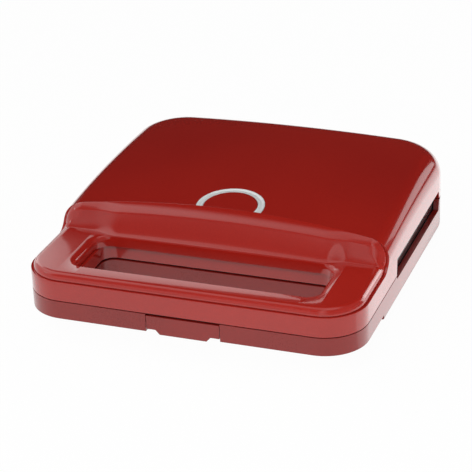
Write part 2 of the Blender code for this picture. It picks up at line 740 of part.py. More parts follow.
def belly_plan(inset):
    side = HALF_WIDTH - inset
    front = FRONT_Y + HANDLE_LENGTH + inset - BELLY_INSET + BELLY_DRAFT
    return rounded(-side, side, front, REAR_Y - inset, PLATE_FRONT_CORNER, REAR_CORNER - inset)


def corner_places(x, front, back):
    """Four places, two in front and two behind, from the same distance to each side."""
    return [(-x, front), (x, front), (x, back), (-x, back)]


def base_screw_places():
    return corner_places(BASE_SCREW_X, FRONT_Y + PLATE_FRONT + BASE_SCREW_FRONT, REAR_Y - BASE_SCREW_BACK)


def lid_screw_places():
    return corner_places(LID_SCREW_X, FRONT_Y + LID_SCREW_FRONT, FRONT_Y + LID_SCREW_BACK)


def foot_places():
    return corner_places(FOOT_X, FRONT_Y + FOOT_FRONT, REAR_Y - FOOT_BACK)


def hinge_arm(name, left, right, towards_lid):
    """A hinge knuckle with the slimmer web that joins it to a half's back wall, below or above the axis."""
    side = 1 if towards_lid else -1
    wall = REAR_Y - SHELL_WALL / 2
    shoulder = HINGE_RADIUS * WEB_SHOULDER_SHARE
    near = REAR_LID_BOTTOM + RUN_GAP if towards_lid else REAR_BASE_TOP - RUN_GAP
    disc = rod(name + "_disc", ((left + right) / 2, HINGE_Y, HINGE_HEIGHT), HINGE_RADIUS, right - left, "X",
               sides=KNUCKLE_SIDES)
    web = [(wall, near), (HINGE_Y - HINGE_RADIUS * WEB_NEAR_SHARE, near), (HINGE_Y, HINGE_HEIGHT),
           (HINGE_Y + shoulder, HINGE_HEIGHT + side * shoulder), (wall, HINGE_HEIGHT + side * WEB_HEIGHT)]
    return disc, side_prism(name + "_web", web, left + RUN_GAP, right - RUN_GAP)


def hinge_spans():
    """For each hinge, the X ranges of its two base knuckles and of the lid's knuckle between them."""
    spans = []
    for side in (-1, 1):
        middle = side * HINGE_PLACE
        inner = LID_KNUCKLE / 2
        near = (middle - inner - KNUCKLE_GAP - BASE_KNUCKLE, middle - inner - KNUCKLE_GAP)
        far = (middle + inner + KNUCKLE_GAP, middle + inner + KNUCKLE_GAP + BASE_KNUCKLE)
        spans.append((near, (middle - inner, middle + inner), far))
    return spans


def hinge_bore(name):
    return rod(name, (0.0, HINGE_Y, HINGE_HEIGHT), PIN_RADIUS + SEAT_GAP, BODY_WIDTH, "X")


def make_base_shell():
    """The base: walls, a belly that holds the heating parts, and a handle bar with the hand slot."""
    rings = []
    for k in range(SMALL_ROUND_STEPS + 1):
        a = math.radians(90 * k / SMALL_ROUND_STEPS)
        inset = BOTTOM_ROUND * (1 - math.sin(a))
        height = SIDE_BOTTOM + BOTTOM_ROUND * (1 - math.cos(a))
        rings.append([(x, y, height) for x, y in body_plan(inset, 0)])
    rings.append([(x, y, REAR_BASE_TOP) for x, y in body_plan(0.0, 0)])
    shell = loft("base_shell", rings, RED_GLOSS)
    edge = parting_line(BASE_EDGE, SIDE_BASE_TOP, REAR_BASE_TOP)[:-1]
    sky = [(edge[-1][0], LID_TOP), (FRONT_Y - OVERRUN, LID_TOP)]
    over = side_prism("base_edge_cutter", edge + sky, -HALF_WIDTH - OVERRUN, HALF_WIDTH + OVERRUN)
    step = FRONT_Y + HANDLE_LENGTH
    lift = [(FRONT_Y - OVERRUN, SIDE_BOTTOM - OVERRUN), (FRONT_Y - OVERRUN, HANDLE_BOTTOM),
            (step - GAP_RAMP, HANDLE_BOTTOM), (step, SIDE_BOTTOM - OVERRUN)]
    under = side_prism("handle_underside_cutter", lift, -HALF_WIDTH - OVERRUN, HALF_WIDTH + OVERRUN)
    belly = loft("belly", [[(x, y, BELLY_BOTTOM) for x, y in belly_plan(BELLY_INSET)],
                           [(x, y, HANDLE_BOTTOM) for x, y in belly_plan(BELLY_INSET - BELLY_DRAFT)]])
    inside = BELLY_INSET + SHELL_WALL
    pit = loft("belly_hollow", [[(x, y, FLOOR_TOP) for x, y in belly_plan(inside)],
                                [(x, y, SHELF_TOP) for x, y in belly_plan(inside - BELLY_DRAFT)]])
    behind_slot = SLOT_BACK + SLOT_SET_BACK + SHELL_WALL + SEAT_GAP
    low = prism("base_hollow", room_plan(SHELF_WIDTH, behind_slot), SIDE_BOTTOM + SHELL_WALL,
                SHELF_TOP + OVERRUN / 2)
    high = prism("base_rim_hollow", room_plan(RIM_WIDTH, behind_slot), SHELF_TOP, REAR_BASE_TOP + OVERRUN)
    tube = prism("base_tube_core", tube_plan(SHELL_WALL), 0.0, LID_TOP)
    bar = prism("base_bar_hollow", handle_plan(RIM_WIDTH, behind_slot + SHELL_WALL),
                HANDLE_BOTTOM + SHELL_WALL, LID_TOP)
    seat = prism("base_plate_seat", handle_plan(SHELL_WALL, PLATE_FRONT), BASE_EDGE - RIM_DEPTH, LID_TOP)
    cut(bar, tube)
    cut(seat, tube)
    mouth = prism("base_slot_cutter", tube_plan(0.0), 0.0, LID_TOP)
    pocket = latch_pocket("latch_pocket")
    cut(shell, over, under)
    join(shell, belly)
    cut(shell, pit, low, high, bar, seat, mouth)
    for k, place in enumerate(base_screw_places()):
        pad = rod(f"screw_pad_{k}", (*place, (BELLY_BOTTOM + FRAME_BOSS_FOOT) / 2), PAD_RADIUS,
                  FRAME_BOSS_FOOT - BELLY_BOTTOM, sides=SMALL_SIDES)
        join(shell, pad)
    for left, _, right in hinge_spans():
        for span in (left, right):
            join(shell, *hinge_arm(f"base_knuckle_{span[0]:.3f}", *span, False))
    ears = latch_ears()
    cut(shell, pocket)
    join(shell, *ears)
    for k, (x, y) in enumerate(base_screw_places()):
        hole = rod(f"base_screw_hole_{k}", (x, y, BELLY_BOTTOM), SCREW_RADIUS + SEAT_GAP,
                   2 * FRAME_BOSS_FOOT, sides=SMALL_SIDES)
        sink = rod(f"base_screw_sink_{k}", (x, y, BELLY_BOTTOM), SCREW_HEAD + SEAT_GAP,
                   2 * (SCREW_HEAD_HEIGHT + SEAT_GAP), sides=SMALL_SIDES)
        cut(shell, hole, sink)
    for k, (x, y) in enumerate(foot_places()):
        recess = rod(f"foot_recess_{k}", (x, y, BELLY_BOTTOM), FOOT_RADIUS + SEAT_GAP,
                     2 * (FOOT_SEAT + SEAT_GAP))
        cut(shell, recess)
    gland = rod("gland_hole", (0.0, REAR_Y, GLAND_HEIGHT), GLAND_RADIUS + SEAT_GAP,
                2 * (SHELF_WIDTH + OVERRUN), "Y")
    pin_hole = rod("latch_pin_bore", (0.0, LATCH_Y, LATCH_PIVOT_HEIGHT), LATCH_PIN_RADIUS + SEAT_GAP,
                   LATCH_WIDTH + 4 * HOOK_THICKNESS + OVERRUN, "X", sides=SMALL_SIDES)
    cut(shell, gland, hinge_bore("base_hinge_bore"), pin_hole)
    return shell


def latch_pocket(name):
    """The latch's room in the front of the handle bar, open in front."""
    half = LATCH_WIDTH / 2 + RUN_GAP
    back = LATCH_Y + LATCH_PIVOT_BACK * LATCH_ROOM_SHARE
    return box(name, (-half, FRONT_Y - OVERRUN, 0.0), (half, back, LID_TOP))


def latch_ears():
    """The two bearing blocks beside the latch's pocket."""
    ears = []
    for side in (-1, 1):
        inner = LATCH_WIDTH / 2 + RUN_GAP
        outer = inner + HOOK_THICKNESS * EAR_WIDTH_SHARE
        reach = LATCH_PIVOT_BACK * EAR_REACH_SHARE
        low = (min(side * inner, side * outer), FRONT_Y + SHELL_WALL / 2, HANDLE_BOTTOM + SHELL_WALL / 2)
        high = (max(side * inner, side * outer), LATCH_Y + reach, LATCH_PIVOT_HEIGHT + reach)
        ears.append(box(f"latch_ear_{side}", low, high))
    return ears


def hook_window(name, bottom, top):
    """The way through a handle plate for the latch's hook."""
    half = HOOK_WIDTH / 2 + 2 * RUN_GAP
    front = LATCH_Y - HOOK_THICKNESS / 2 - HOOK_REACH * HOOK_PLAY_SHARE
    return box(name, (-half, front, bottom), (half, LATCH_Y + HOOK_THICKNESS * HOOK_SWING_SHARE, top))


def make_handle_plate(name, bottom, top, lower):
    """A flat plate that closes a half's handle bar, round the slot's walls."""
    inset = SHELL_WALL + SEAT_GAP
    plate = prism(name, handle_plan(inset, PLATE_FRONT - SEAT_GAP), bottom, top, BLACK_PLASTIC)
    hole = prism(name + "_slot", tube_plan(SHELL_WALL + SEAT_GAP), 0.0, LID_TOP)
    cut(plate, hole)
    if lower:
        return cut(plate, latch_pocket(name + "_latch_room"))
    cut(plate, hook_window(name + "_hook_room", 0.0, LID_TOP))
    for k, (x, y) in enumerate(lid_screw_places()):
        hole = rod(f"lid_screw_hole_{k}", (x, y, bottom), SCREW_RADIUS + SEAT_GAP, LID_TOP,
                   sides=SMALL_SIDES)
        sink = rod(f"lid_screw_sink_{k}", (x, y, bottom), SCREW_HEAD + SEAT_GAP,
                   2 * (SCREW_HEAD_HEIGHT + SEAT_GAP), sides=SMALL_SIDES)
        cut(plate, hole, sink)
    return plate


def plate_plan(inset):
    side = HALF_WIDTH - PLATE_INSET - inset
    front = FRONT_Y + PLATE_FRONT + inset
    back = REAR_Y - PLATE_INSET - inset
    front_radius = max(PLATE_FRONT_CORNER - inset, PLATE_EDGE_ROUND)
    return rounded(-side, side, front, back, front_radius, REAR_CORNER - PLATE_INSET - inset)


def make_hot_plate(name, meeting, direction):
    """A cast plate: a skirt, a rounded rim and a ribbed cooking floor sunk in a drafted well."""
    def level(depth):
        return meeting - direction * depth

    skirt_foot = level(WELL_DEPTH + PLATE_WALL + PLATE_SKIRT)
    rings = [[(x, y, skirt_foot) for x, y in plate_plan(0.0)]]
    for k in range(SMALL_ROUND_STEPS + 1):
        a = math.radians(90 * k / SMALL_ROUND_STEPS)
        inset, depth = PLATE_EDGE_ROUND * (1 - math.cos(a)), PLATE_EDGE_ROUND * (1 - math.sin(a))
        rings.append([(x, y, level(depth)) for x, y in plate_plan(inset)])
    rings.append([(x, y, level(0.0)) for x, y in plate_plan(PLATE_RIM - PLATE_EDGE_ROUND / 2)])
    rings.append([(x, y, level(PLATE_EDGE_ROUND / 2)) for x, y in plate_plan(PLATE_RIM)])
    well = PLATE_RIM + WELL_DRAFT
    ease = PLATE_EDGE_ROUND / 2
    rings.append([(x, y, level(WELL_DEPTH - ease)) for x, y in plate_plan(well - ease)])
    rings.append([(x, y, level(WELL_DEPTH)) for x, y in plate_plan(well + ease)])
    plate = loft(name, rings, NON_STICK, closed=False)
    mesh = bmesh.new()
    mesh.from_mesh(plate.data)
    mesh.edges.ensure_lookup_table()
    tops = [v for v in mesh.verts if abs(v.co.z - level(WELL_DEPTH)) < WELD]
    loop = [e for e in mesh.edges if e.verts[0] in tops and e.verts[1] in tops]
    bmesh.ops.contextual_create(mesh, geom=loop)
    bmesh.ops.recalc_face_normals(mesh, faces=mesh.faces)
    up = max(mesh.faces, key=lambda f: f.calc_area())
    if up.normal.z * direction < 0:
        bmesh.ops.reverse_faces(mesh, faces=mesh.faces)
    mesh.to_mesh(plate.data)
    mesh.free()
    thick = plate.modifiers.new("casting wall", "SOLIDIFY")
    thick.thickness = PLATE_WALL
    thick.offset = -1.0
    thick.use_even_offset = True
    return join(plate, *cooking_ribs(name, level, direction))


def cooking_ribs(name, level, direction):
    """The ribs across the cooking floor: tapered, with sloping ends, shorter towards the round corners."""
    well = PLATE_RIM + WELL_DRAFT + RIB_MARGIN
    front, back = FRONT_Y + PLATE_FRONT + well, REAR_Y - PLATE_INSET - well
    half = HALF_WIDTH - PLATE_INSET - well
    corner = REAR_CORNER - PLATE_INSET - well
    ribs = []
    each_side = int((half - RIB_FOOT / 2) / RIB_PITCH)
    for k in range(-each_side, each_side + 1):
        x = k * RIB_PITCH
        over = max(abs(x) + RIB_FOOT / 2 - (half - corner), 0.0)
        end = back - corner + math.sqrt(max(corner ** 2 - min(over, corner) ** 2, 0.0))
        rings = []
        for width, height, draw in ((RIB_FOOT, -RIB_ROOT, 0.0), (RIB_CREST, RIB_HEIGHT, RIB_HEIGHT)):
            z = level(WELL_DEPTH - height)
            rings.append([(x - width / 2, front + draw, z), (x + width / 2, front + draw, z),
                          (x + width / 2, end - draw, z), (x - width / 2, end - draw, z)])
        ribs.append(loft(f"{name}_rib_{k + each_side}", rings))
    return ribs


def make_frame(name, bottom, screw_places, boss_foot, direction):
    """A plastic frame that carries a hot plate on its rim, with bosses for its screws."""
    top = bottom + FRAME_THICKNESS
    outer = RIM_WIDTH + SEAT_GAP
    frame = prism(name, room_plan(outer, PLATE_FRONT), bottom, top, BLACK_PLASTIC)
    inner = prism(name + "_opening", room_plan(outer + FRAME_WIDTH, PLATE_FRONT + FRAME_WIDTH), 0.0, LID_TOP)
    cut(frame, inner)
    root = top if direction > 0 else bottom
    ends = sorted((boss_foot, root - direction * FRAME_THICKNESS / 2))
    for k, (x, y) in enumerate(screw_places):
        join(frame, rod(f"{name}_boss_{k}", (x, y, sum(ends) / 2), FRAME_BOSS_RADIUS, ends[1] - ends[0],
                        sides=SMALL_SIDES))
    for k, (x, y) in enumerate(screw_places):
        cut(frame, rod(f"{name}_bore_{k}", (x, y, boss_foot), SCREW_RADIUS + SEAT_GAP,
                       2 * (BASE_SCREW_LENGTH + SEAT_GAP), sides=SMALL_SIDES))
    return frame


def make_screw(name, x, y, head, length):
    """A pan-head screw driven upwards, with a slot in its head."""
    middle = head + SCREW_HEAD_HEIGHT / 2
    screw = rod(name, (x, y, middle), SCREW_HEAD, SCREW_HEAD_HEIGHT, "Z", STEEL, SMALL_SIDES)
    shank = rod(name + "_shank", (x, y, (middle + head + length) / 2), SCREW_RADIUS, head + length - middle,
                sides=SMALL_SIDES)
    slot = box(name + "_slot", (x - SCREW_HEAD, y - SCREW_SLOT / 2, head - SCREW_SLOT),
               (x + SCREW_HEAD, y + SCREW_SLOT / 2, head + SCREW_SLOT))
    join(screw, shank)
    return cut(screw, slot)


def make_foot(name, x, y):
    top = BELLY_BOTTOM + FOOT_SEAT
    return rod(name, (x, y, top / 2), FOOT_TIP_RADIUS, top, "Z", RUBBER, end_radius=FOOT_RADIUS)


def tube_along(name, points, radius, finish, resolution):
    """A round tube or wire along points, as a mesh."""
    curve = bpy.data.curves.new(name, "CURVE")
    curve.dimensions = "3D"
    curve.bevel_depth = radius
    curve.bevel_resolution = resolution
    curve.use_fill_caps = True
    spline = curve.splines.new("POLY")
    spline.points.add(len(points) - 1)
    for target, point in zip(spline.points, points):
        target.co = (*point, 1.0)
    guide = bpy.data.objects.new(name + "_guide", curve)
    CUTTERS.objects.link(guide)
    bpy.context.view_layer.update()
    graph = bpy.context.evaluated_depsgraph_get()
    made = bpy.data.meshes.new_from_object(guide.evaluated_get(graph))
    bpy.data.objects.remove(guide, do_unlink=True)
    bpy.data.curves.remove(curve)
    mesh = bmesh.new()
    mesh.from_mesh(made)
    bpy.data.meshes.remove(made)
    bmesh.ops.remove_doubles(mesh, verts=mesh.verts, dist=WELD)
    return mesh_object(name, mesh, finish)


def element_route(height):
    """The element's loop under a plate, from one end round and back to the other."""
    bend = ELEMENT_BEND
    end = [(ELEMENT_ENDS, LOOP_BACK)]
    half = end + [(x, y) for x, y in reversed(arc(ELEMENT_X - bend, LOOP_BACK - bend, bend, 0, ROUND_STEPS))]
    half += [(x, y) for x, y in reversed(arc(ELEMENT_X - bend, LOOP_FRONT + bend, bend, -90, ROUND_STEPS))]
    other = [(-x, y) for x, y in reversed(half)]
    return [(x, y, height) for x, y in half + other]


def make_element(name, height):
    element = tube_along(name, element_route(height), ELEMENT_RADIUS, STEEL, 2)
    for side in (-1, 1):
        middle = side * (ELEMENT_ENDS - ELEMENT_STUD / 2)
        stud = rod(f"{name}_stud_{side}", (middle, LOOP_BACK, height), ELEMENT_STUD_RADIUS,
                   ELEMENT_STUD + SHELL_WALL, "X", sides=SMALL_SIDES)
        join(element, stud)
    return element


def shield_plan(inset):
    side = HALF_WIDTH - SHIELD_INSET - inset
    front = FRONT_Y + PLATE_FRONT + FRAME_WIDTH + SHIELD_FRONT_GAP + inset
    return rounded(-side, side, front, REAR_Y - SHIELD_INSET - inset, ELEMENT_BEND, ELEMENT_BEND)


def make_heat_shield(name, near, direction, hole):
    """A pressed sheet behind an element, with its edge turned towards the plate."""
    far = near - direction * SHIELD_THICKNESS
    lip = near + direction * SHIELD_LIP
    rings = [[(x, y, lip) for x, y in shield_plan(0.0)],
             [(x, y, far) for x, y in shield_plan(SHIELD_LIP / 2)],
             [(x, y, near) for x, y in shield_plan(SHIELD_LIP / 2 + SHIELD_THICKNESS)],
             [(x, y, lip) for x, y in shield_plan(SHIELD_THICKNESS)]]
    rim = loft(name, rings, ALUMINIUM, around=True)
    low, high = sorted((far, near))
    floor = prism(name + "_floor", shield_plan(SHIELD_LIP / 2 + SHIELD_THICKNESS / 2), low, high)
    join(rim, floor)
    if hole:
        cut(rim, rod(name + "_hole", (0.0, THERMOSTAT_Y, near), THERMOSTAT_RADIUS + RUN_GAP,
                     2 * OVERRUN))
    return rim


def make_fuse(name, height):
    fuse = rod(name, (FUSE_X, THERMOSTAT_Y, height), FUSE_RADIUS, FUSE_LENGTH, "X", CERAMIC, SMALL_SIDES)
    leads = rod(name + "_leads", (FUSE_X, THERMOSTAT_Y, height), FUSE_LEAD_RADIUS,
                FUSE_LENGTH + 2 * FUSE_LEAD, "X", sides=SMALL_SIDES)
    return join(fuse, leads)


def make_thermostat(top):
    """The thermostat: a stepped disc pressed to the plate through the shield's hole, on two tags."""
    body = rod("thermostat", (0.0, THERMOSTAT_Y, top - THERMOSTAT_HEIGHT / 2), THERMOSTAT_RADIUS,
               THERMOSTAT_HEIGHT, "Z", CERAMIC)
    step = rod("thermostat_step", (0.0, THERMOSTAT_Y, top - THERMOSTAT_HEIGHT), THERMOSTAT_STEP_RADIUS,
               2 * THERMOSTAT_STEP)
    return join(body, step)


def make_terminal_block():
    """A ceramic block on the base's floor, with two holes for the wires."""
    floor = FLOOR_TOP + SEAT_GAP
    back = REAR_Y - TERMINAL_BACK
    block = box("terminal_block", (-TERMINAL_WIDTH / 2, back - TERMINAL_DEPTH, floor),
                (TERMINAL_WIDTH / 2, back, floor + TERMINAL_HEIGHT), CERAMIC)
    for side in (-1, 1):
        place = (side * TERMINAL_WIDTH / 4, back - TERMINAL_DEPTH / 2, floor + TERMINAL_HEIGHT / 2)
        head = (place[0], place[1], floor + TERMINAL_HEIGHT)
        cut(block, rod(f"terminal_hole_{side}", place, TERMINAL_HOLE, TERMINAL_DEPTH * 2, "Y",
                       sides=SMALL_SIDES))
        cut(block, rod(f"terminal_screw_{side}", head, TERMINAL_HOLE, TERMINAL_HEIGHT,
                       sides=SMALL_SIDES))
    return block


def make_cord_gland():
    """The bushing in the back wall for the supply cord: a flange, a neck and a ribbed sleeve."""
    out = REAR_Y + SEAT_GAP
    inside = REAR_Y - RIM_WIDTH + SEAT_GAP
    profile = [(GLAND_RADIUS, inside), (GLAND_RADIUS, out), (GLAND_FLANGE, out),
               (GLAND_FLANGE, out + GLAND_FLANGE_THICKNESS)]
    pitch = (GLAND_SLEEVE - GLAND_FLANGE_THICKNESS) / GLAND_RIBS
    for k in range(GLAND_RIBS):
        start = out + GLAND_FLANGE_THICKNESS + pitch * k
        wide = GLAND_RADIUS + (GLAND_TIP_RADIUS - GLAND_RADIUS) * k / GLAND_RIBS
        thin = wide - (GLAND_RADIUS - GLAND_TIP_RADIUS) / 2
        rise, crest, fall = [start + pitch * share for share in GLAND_RIB_SHARES]
        profile += [(wide, rise), (wide, crest), (thin, fall)]
    tip = out + GLAND_SLEEVE
    profile += [(GLAND_TIP_RADIUS, tip), (GLAND_BORE, tip), (GLAND_BORE, inside)]
    rings = []
    for radius, y in profile:
        angles = [2 * math.pi * k / SMALL_SIDES for k in range(SMALL_SIDES)]
        rings.append([(radius * math.cos(a), y, GLAND_HEIGHT + radius * math.sin(a)) for a in angles])
    return loft("cord_gland", rings, BLACK_PLASTIC, around=True)


def make_hinge_pin(name, left, right):
    return rod(name, ((left + right) / 2, HINGE_Y, HINGE_HEIGHT), PIN_RADIUS, right - left, "X", STEEL)


def make_latch():
    """The latch: a flush front plate with a finger tab, two bearing cheeks and a hook that holds the lid."""
    half, tab = LATCH_WIDTH / 2, LATCH_TAB_WIDTH / 2
    top = BASE_EDGE - LATCH_TOP_GAP
    notch = LATCH_BOTTOM + LATCH_NOTCH
    face = [(-half, notch), (-tab - LATCH_TAB_SLOPE, notch), (-tab, LATCH_BOTTOM), (tab, LATCH_BOTTOM),
            (tab + LATCH_TAB_SLOPE, notch), (half, notch), (half, top), (-half, top)]
    rings = [[(x, y, z) for x, z in face] for y in (FRONT_Y, FRONT_Y + LATCH_THICKNESS)]
    latch = loft("latch", rings, RED_GLOSS)
    for side in (-1, 1):
        near, far = sorted((side * tab, side * (tab + HOOK_THICKNESS)))
        reach = LATCH_PIN_RADIUS + HOOK_THICKNESS / 2
        turns = [math.radians(a) for a in range(-90, 91, 30)]
        cheek = [(FRONT_Y + LATCH_THICKNESS / 2, LATCH_PIVOT_HEIGHT - reach)]
        cheek += [(LATCH_Y + reach * math.cos(a), LATCH_PIVOT_HEIGHT + reach * math.sin(a)) for a in turns]
        cheek += [(FRONT_Y + LATCH_THICKNESS / 2, LATCH_PIVOT_HEIGHT + reach)]
        join(latch, side_prism(f"latch_cheek_{side}", cheek, near, far))
    back = LATCH_Y + HOOK_THICKNESS / 2
    front = LATCH_Y - HOOK_THICKNESS / 2
    catch = LID_EDGE + HANDLE_PLATE_THICKNESS + SEAT_GAP
    tip = catch + HOOK_HEAD
    nose = front - HOOK_REACH
    arm_low = LATCH_PIVOT_HEIGHT + LATCH_PIN_RADIUS + 2 * SEAT_GAP
    arm_high = arm_low + HOOK_THICKNESS
    hook = [(FRONT_Y + LATCH_THICKNESS / 2, arm_low), (back, arm_low), (back, tip), (front, tip),
            (nose, catch + HOOK_HEAD * HOOK_NOSE_SHARE), (nose, catch), (front, catch), (front, arm_high),
            (FRONT_Y + LATCH_THICKNESS / 2, arm_high)]
    join(latch, side_prism("latch_hook", hook, -HOOK_WIDTH / 2, HOOK_WIDTH / 2))
    bore = rod("latch_bore", (0.0, LATCH_Y, LATCH_PIVOT_HEIGHT), LATCH_PIN_RADIUS + SEAT_GAP,
               LATCH_WIDTH, "X", sides=SMALL_SIDES)
    return cut(latch, bore)


def make_latch_pin():
    length = LATCH_WIDTH + 2 * (RUN_GAP + HOOK_THICKNESS * EAR_WIDTH_SHARE - SEAT_GAP)
    return rod("latch_pin", (0.0, LATCH_Y, LATCH_PIVOT_HEIGHT), LATCH_PIN_RADIUS, length, "X", STEEL,
               SMALL_SIDES)


def make_latch_spring():
    """A torsion spring round the pin, between the hook and a cheek."""
    start = HOOK_WIDTH / 2 + SPRING_END_GAP
    end = LATCH_TAB_WIDTH / 2 - SPRING_END_GAP
    count = SPRING_TURNS * SPRING_POINTS
    points = [(start, LATCH_Y + SPRING_LEG, LATCH_PIVOT_HEIGHT - SPRING_RADIUS)]
    for k in range(count + 1):
        a = 2 * math.pi * k / SPRING_POINTS - math.pi / 2
        x = start + (end - start) * k / count
        points.append((x, LATCH_Y + SPRING_RADIUS * math.cos(a),
                       LATCH_PIVOT_HEIGHT + SPRING_RADIUS * math.sin(a)))
    points.append((end, LATCH_Y + SPRING_LEG, LATCH_PIVOT_HEIGHT - SPRING_RADIUS))
    return tube_along("latch_spring", points, SPRING_WIRE, STEEL, 1)


LID_COVER = make_lid_cover()
HANDLE_CAP = make_handle_cap()
TRIM_RING = make_trim_ring()
cut(LID_COVER, ring_groove())
UPPER_SHELF = 2 * MEETING_HEIGHT - FRAME_TOP
for spans in hinge_spans():
    join(LID_COVER, *hinge_arm(f"lid_knuckle_{spans[1][0]:.3f}", *spans[1], True))
for k, (x, y) in enumerate(lid_screw_places()):
    boss_foot = LID_EDGE + HANDLE_PLATE_THICKNESS + SEAT_GAP
    boss_top = CAP_SEAM - SHELL_WALL / 2
    join(LID_COVER, rod(f"lid_boss_{k}", (x, y, (boss_foot + boss_top) / 2), BOSS_RADIUS,
                        boss_top - boss_foot, sides=SMALL_SIDES))
for k, (x, y) in enumerate(base_screw_places()):
    post_foot = UPPER_SHELF + FRAME_THICKNESS + SEAT_GAP
    post_top = crown(x, y) - SHELL_WALL / 2
    join(LID_COVER, rod(f"lid_post_{k}", (x, y, (post_foot + post_top) / 2), BOSS_RADIUS,
                        post_top - post_foot, sides=SMALL_SIDES))
for k, (x, y) in enumerate(lid_screw_places()):
    cut(LID_COVER, rod(f"lid_boss_bore_{k}", (x, y, LID_EDGE), SCREW_RADIUS + SEAT_GAP,
                       2 * (LID_SCREW_LENGTH + SCREW_HEAD_HEIGHT + SEAT_GAP), sides=SMALL_SIDES))
cut(LID_COVER, hinge_bore("lid_hinge_bore"))
for k, (x, y) in enumerate(lid_screw_places()):
    make_screw(f"lid_screw_{k + 1}", x, y, LID_EDGE, LID_SCREW_LENGTH + SCREW_HEAD_HEIGHT)

make_base_shell()
make_handle_plate("lower_handle_plate", BASE_EDGE - HANDLE_PLATE_THICKNESS, BASE_EDGE, True)
make_handle_plate("upper_handle_plate", LID_EDGE, LID_EDGE + HANDLE_PLATE_THICKNESS, False)
BASE_FRAME = make_frame("base_inner_frame", SHELF_TOP + SEAT_GAP, base_screw_places(),
                        FRAME_BOSS_FOOT + SEAT_GAP, 1)
cut(BASE_FRAME, rod("cord_way", (0.0, REAR_Y, GLAND_HEIGHT), GLAND_BORE,
                    2 * (SHELF_WIDTH + FRAME_WIDTH), "Y"))
make_frame("lid_inner_frame", UPPER_SHELF, [], 0.0, -1)
make_hot_plate("lower_hot_plate", LOWER_MEETING, 1)
make_hot_plate("upper_hot_plate", UPPER_MEETING, -1)
make_element("lower_heating_element", ELEMENT_HEIGHT)
make_element("upper_heating_element", 2 * MEETING_HEIGHT - ELEMENT_HEIGHT)
make_heat_shield("lower_heat_shield", SHIELD_HEIGHT, 1, True)
make_heat_shield("upper_heat_shield", 2 * MEETING_HEIGHT - SHIELD_HEIGHT, -1, False)
make_thermostat(PLATE_BACK - SEAT_GAP)
FUSE_HEIGHT = SHIELD_HEIGHT - SHIELD_THICKNESS - SEAT_GAP - FUSE_RADIUS
make_fuse("lower_thermal_fuse", FUSE_HEIGHT)
make_fuse("upper_thermal_fuse", 2 * MEETING_HEIGHT - FUSE_HEIGHT)
make_terminal_block()
make_cord_gland()
for k, (x, y) in enumerate(foot_places()):
    make_foot(f"foot_{k + 1}", x, y)
for k, (x, y) in enumerate(base_screw_places()):
    make_screw(f"base_screw_{k + 1}", x, y, BELLY_BOTTOM + SEAT_GAP, BASE_SCREW_LENGTH)
for side, spans in zip(("left", "right"), hinge_spans()):
    make_hinge_pin(f"hinge_pin_{side}", spans[0][0], spans[2][1])
make_latch()
make_latch_pin()
make_latch_spring()
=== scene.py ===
"""The finished look of the sandwich maker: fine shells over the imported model, their finishes, a plain
studio and the photograph's camera.

Metres, +Z up, front towards -Y. The shapes repeat the part's own measures with finer steps.
"""

import json
from math import cos, pi, radians, sin, sqrt, tan

import bmesh
import bpy
from mathutils import Matrix, Quaternion, Vector


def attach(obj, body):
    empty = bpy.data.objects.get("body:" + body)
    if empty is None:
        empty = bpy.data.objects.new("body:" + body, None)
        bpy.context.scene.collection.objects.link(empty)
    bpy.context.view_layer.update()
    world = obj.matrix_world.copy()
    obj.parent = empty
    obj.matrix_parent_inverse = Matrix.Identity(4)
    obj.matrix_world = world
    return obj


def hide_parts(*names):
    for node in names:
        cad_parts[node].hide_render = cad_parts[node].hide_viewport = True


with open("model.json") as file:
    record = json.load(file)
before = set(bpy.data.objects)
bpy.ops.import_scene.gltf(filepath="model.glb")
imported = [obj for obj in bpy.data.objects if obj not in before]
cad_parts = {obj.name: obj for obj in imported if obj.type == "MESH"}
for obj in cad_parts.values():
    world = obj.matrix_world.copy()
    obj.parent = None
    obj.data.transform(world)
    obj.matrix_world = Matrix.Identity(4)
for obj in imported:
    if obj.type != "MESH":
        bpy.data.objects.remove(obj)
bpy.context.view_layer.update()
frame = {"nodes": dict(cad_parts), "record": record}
TOOLS = []

# Body plan. Heights are over the table.
BODY_WIDTH = 0.230
BODY_DEPTH = 0.242
FRONT_CORNER = 0.0285
REAR_CORNER = 0.0366
SHELL_WALL = 0.0025

# Clearances.
SEAT_GAP = 0.0003
RUN_GAP = 0.0004
OVERRUN = 0.004
WELD = 0.000001

# The line between lid and base, from the height where the plates meet and from the hinge's axis. Between a
# start behind the plates' front and an end before the back it is open, to show the plates' rims.
PARTING_DROP = 0.0058
PARTING_GAP = 0.0007
SIDE_BASE_DROP = 0.0082
SIDE_LID_RISE = 0.0065
REAR_BASE_DROP = 0.0013
REAR_LID_RISE = 0.0002
GAP_SET_BACK = 0.0022
GAP_BACK = 0.037
GAP_RAMP = 0.0022

# Base tub: the belly's floor over the table, the handle bar's depth and the step down behind it.
HANDLE_DEPTH = 0.01235
HANDLE_STEP = 0.0040
HANDLE_SPARE = 0.0020
BOTTOM_ROUND = 0.0017
BELLY_BOTTOM = 0.0050
BELLY_INSET = 0.0130
BELLY_DRAFT = 0.0040

# Lid's crown: its height over the meeting plates, its highest point's distance from the back, how far it
# falls to the edges, and its rounded edge.
LID_RISE = 0.03566
CROWN_SIDE_FALL = 0.0035
CROWN_FRONT_FALL = 0.0170
CROWN_BACK = 0.053
LID_ROUND_FRONT = 0.012
LID_ROUND_REAR = 0.016

# Handle cap on the lid: the band under its seam, its flat over the seam, its skirt under it, and its end
# before the hot plates.
CAP_BAND = 0.01365
CAP_INSET = 0.0018
CAP_RISE = 0.0049
CAP_OFFSET = 0.0036
CAP_BOW = 0.0119
CAP_FILLET = 0.012
CAP_PROUD = 0.0008
CAP_WALL = 0.0022
SKIRT_DROP = 0.0027
EAR_SET_BACK = 0.005
CAP_SPARE = 0.024
EDGE_RUN = 0.003

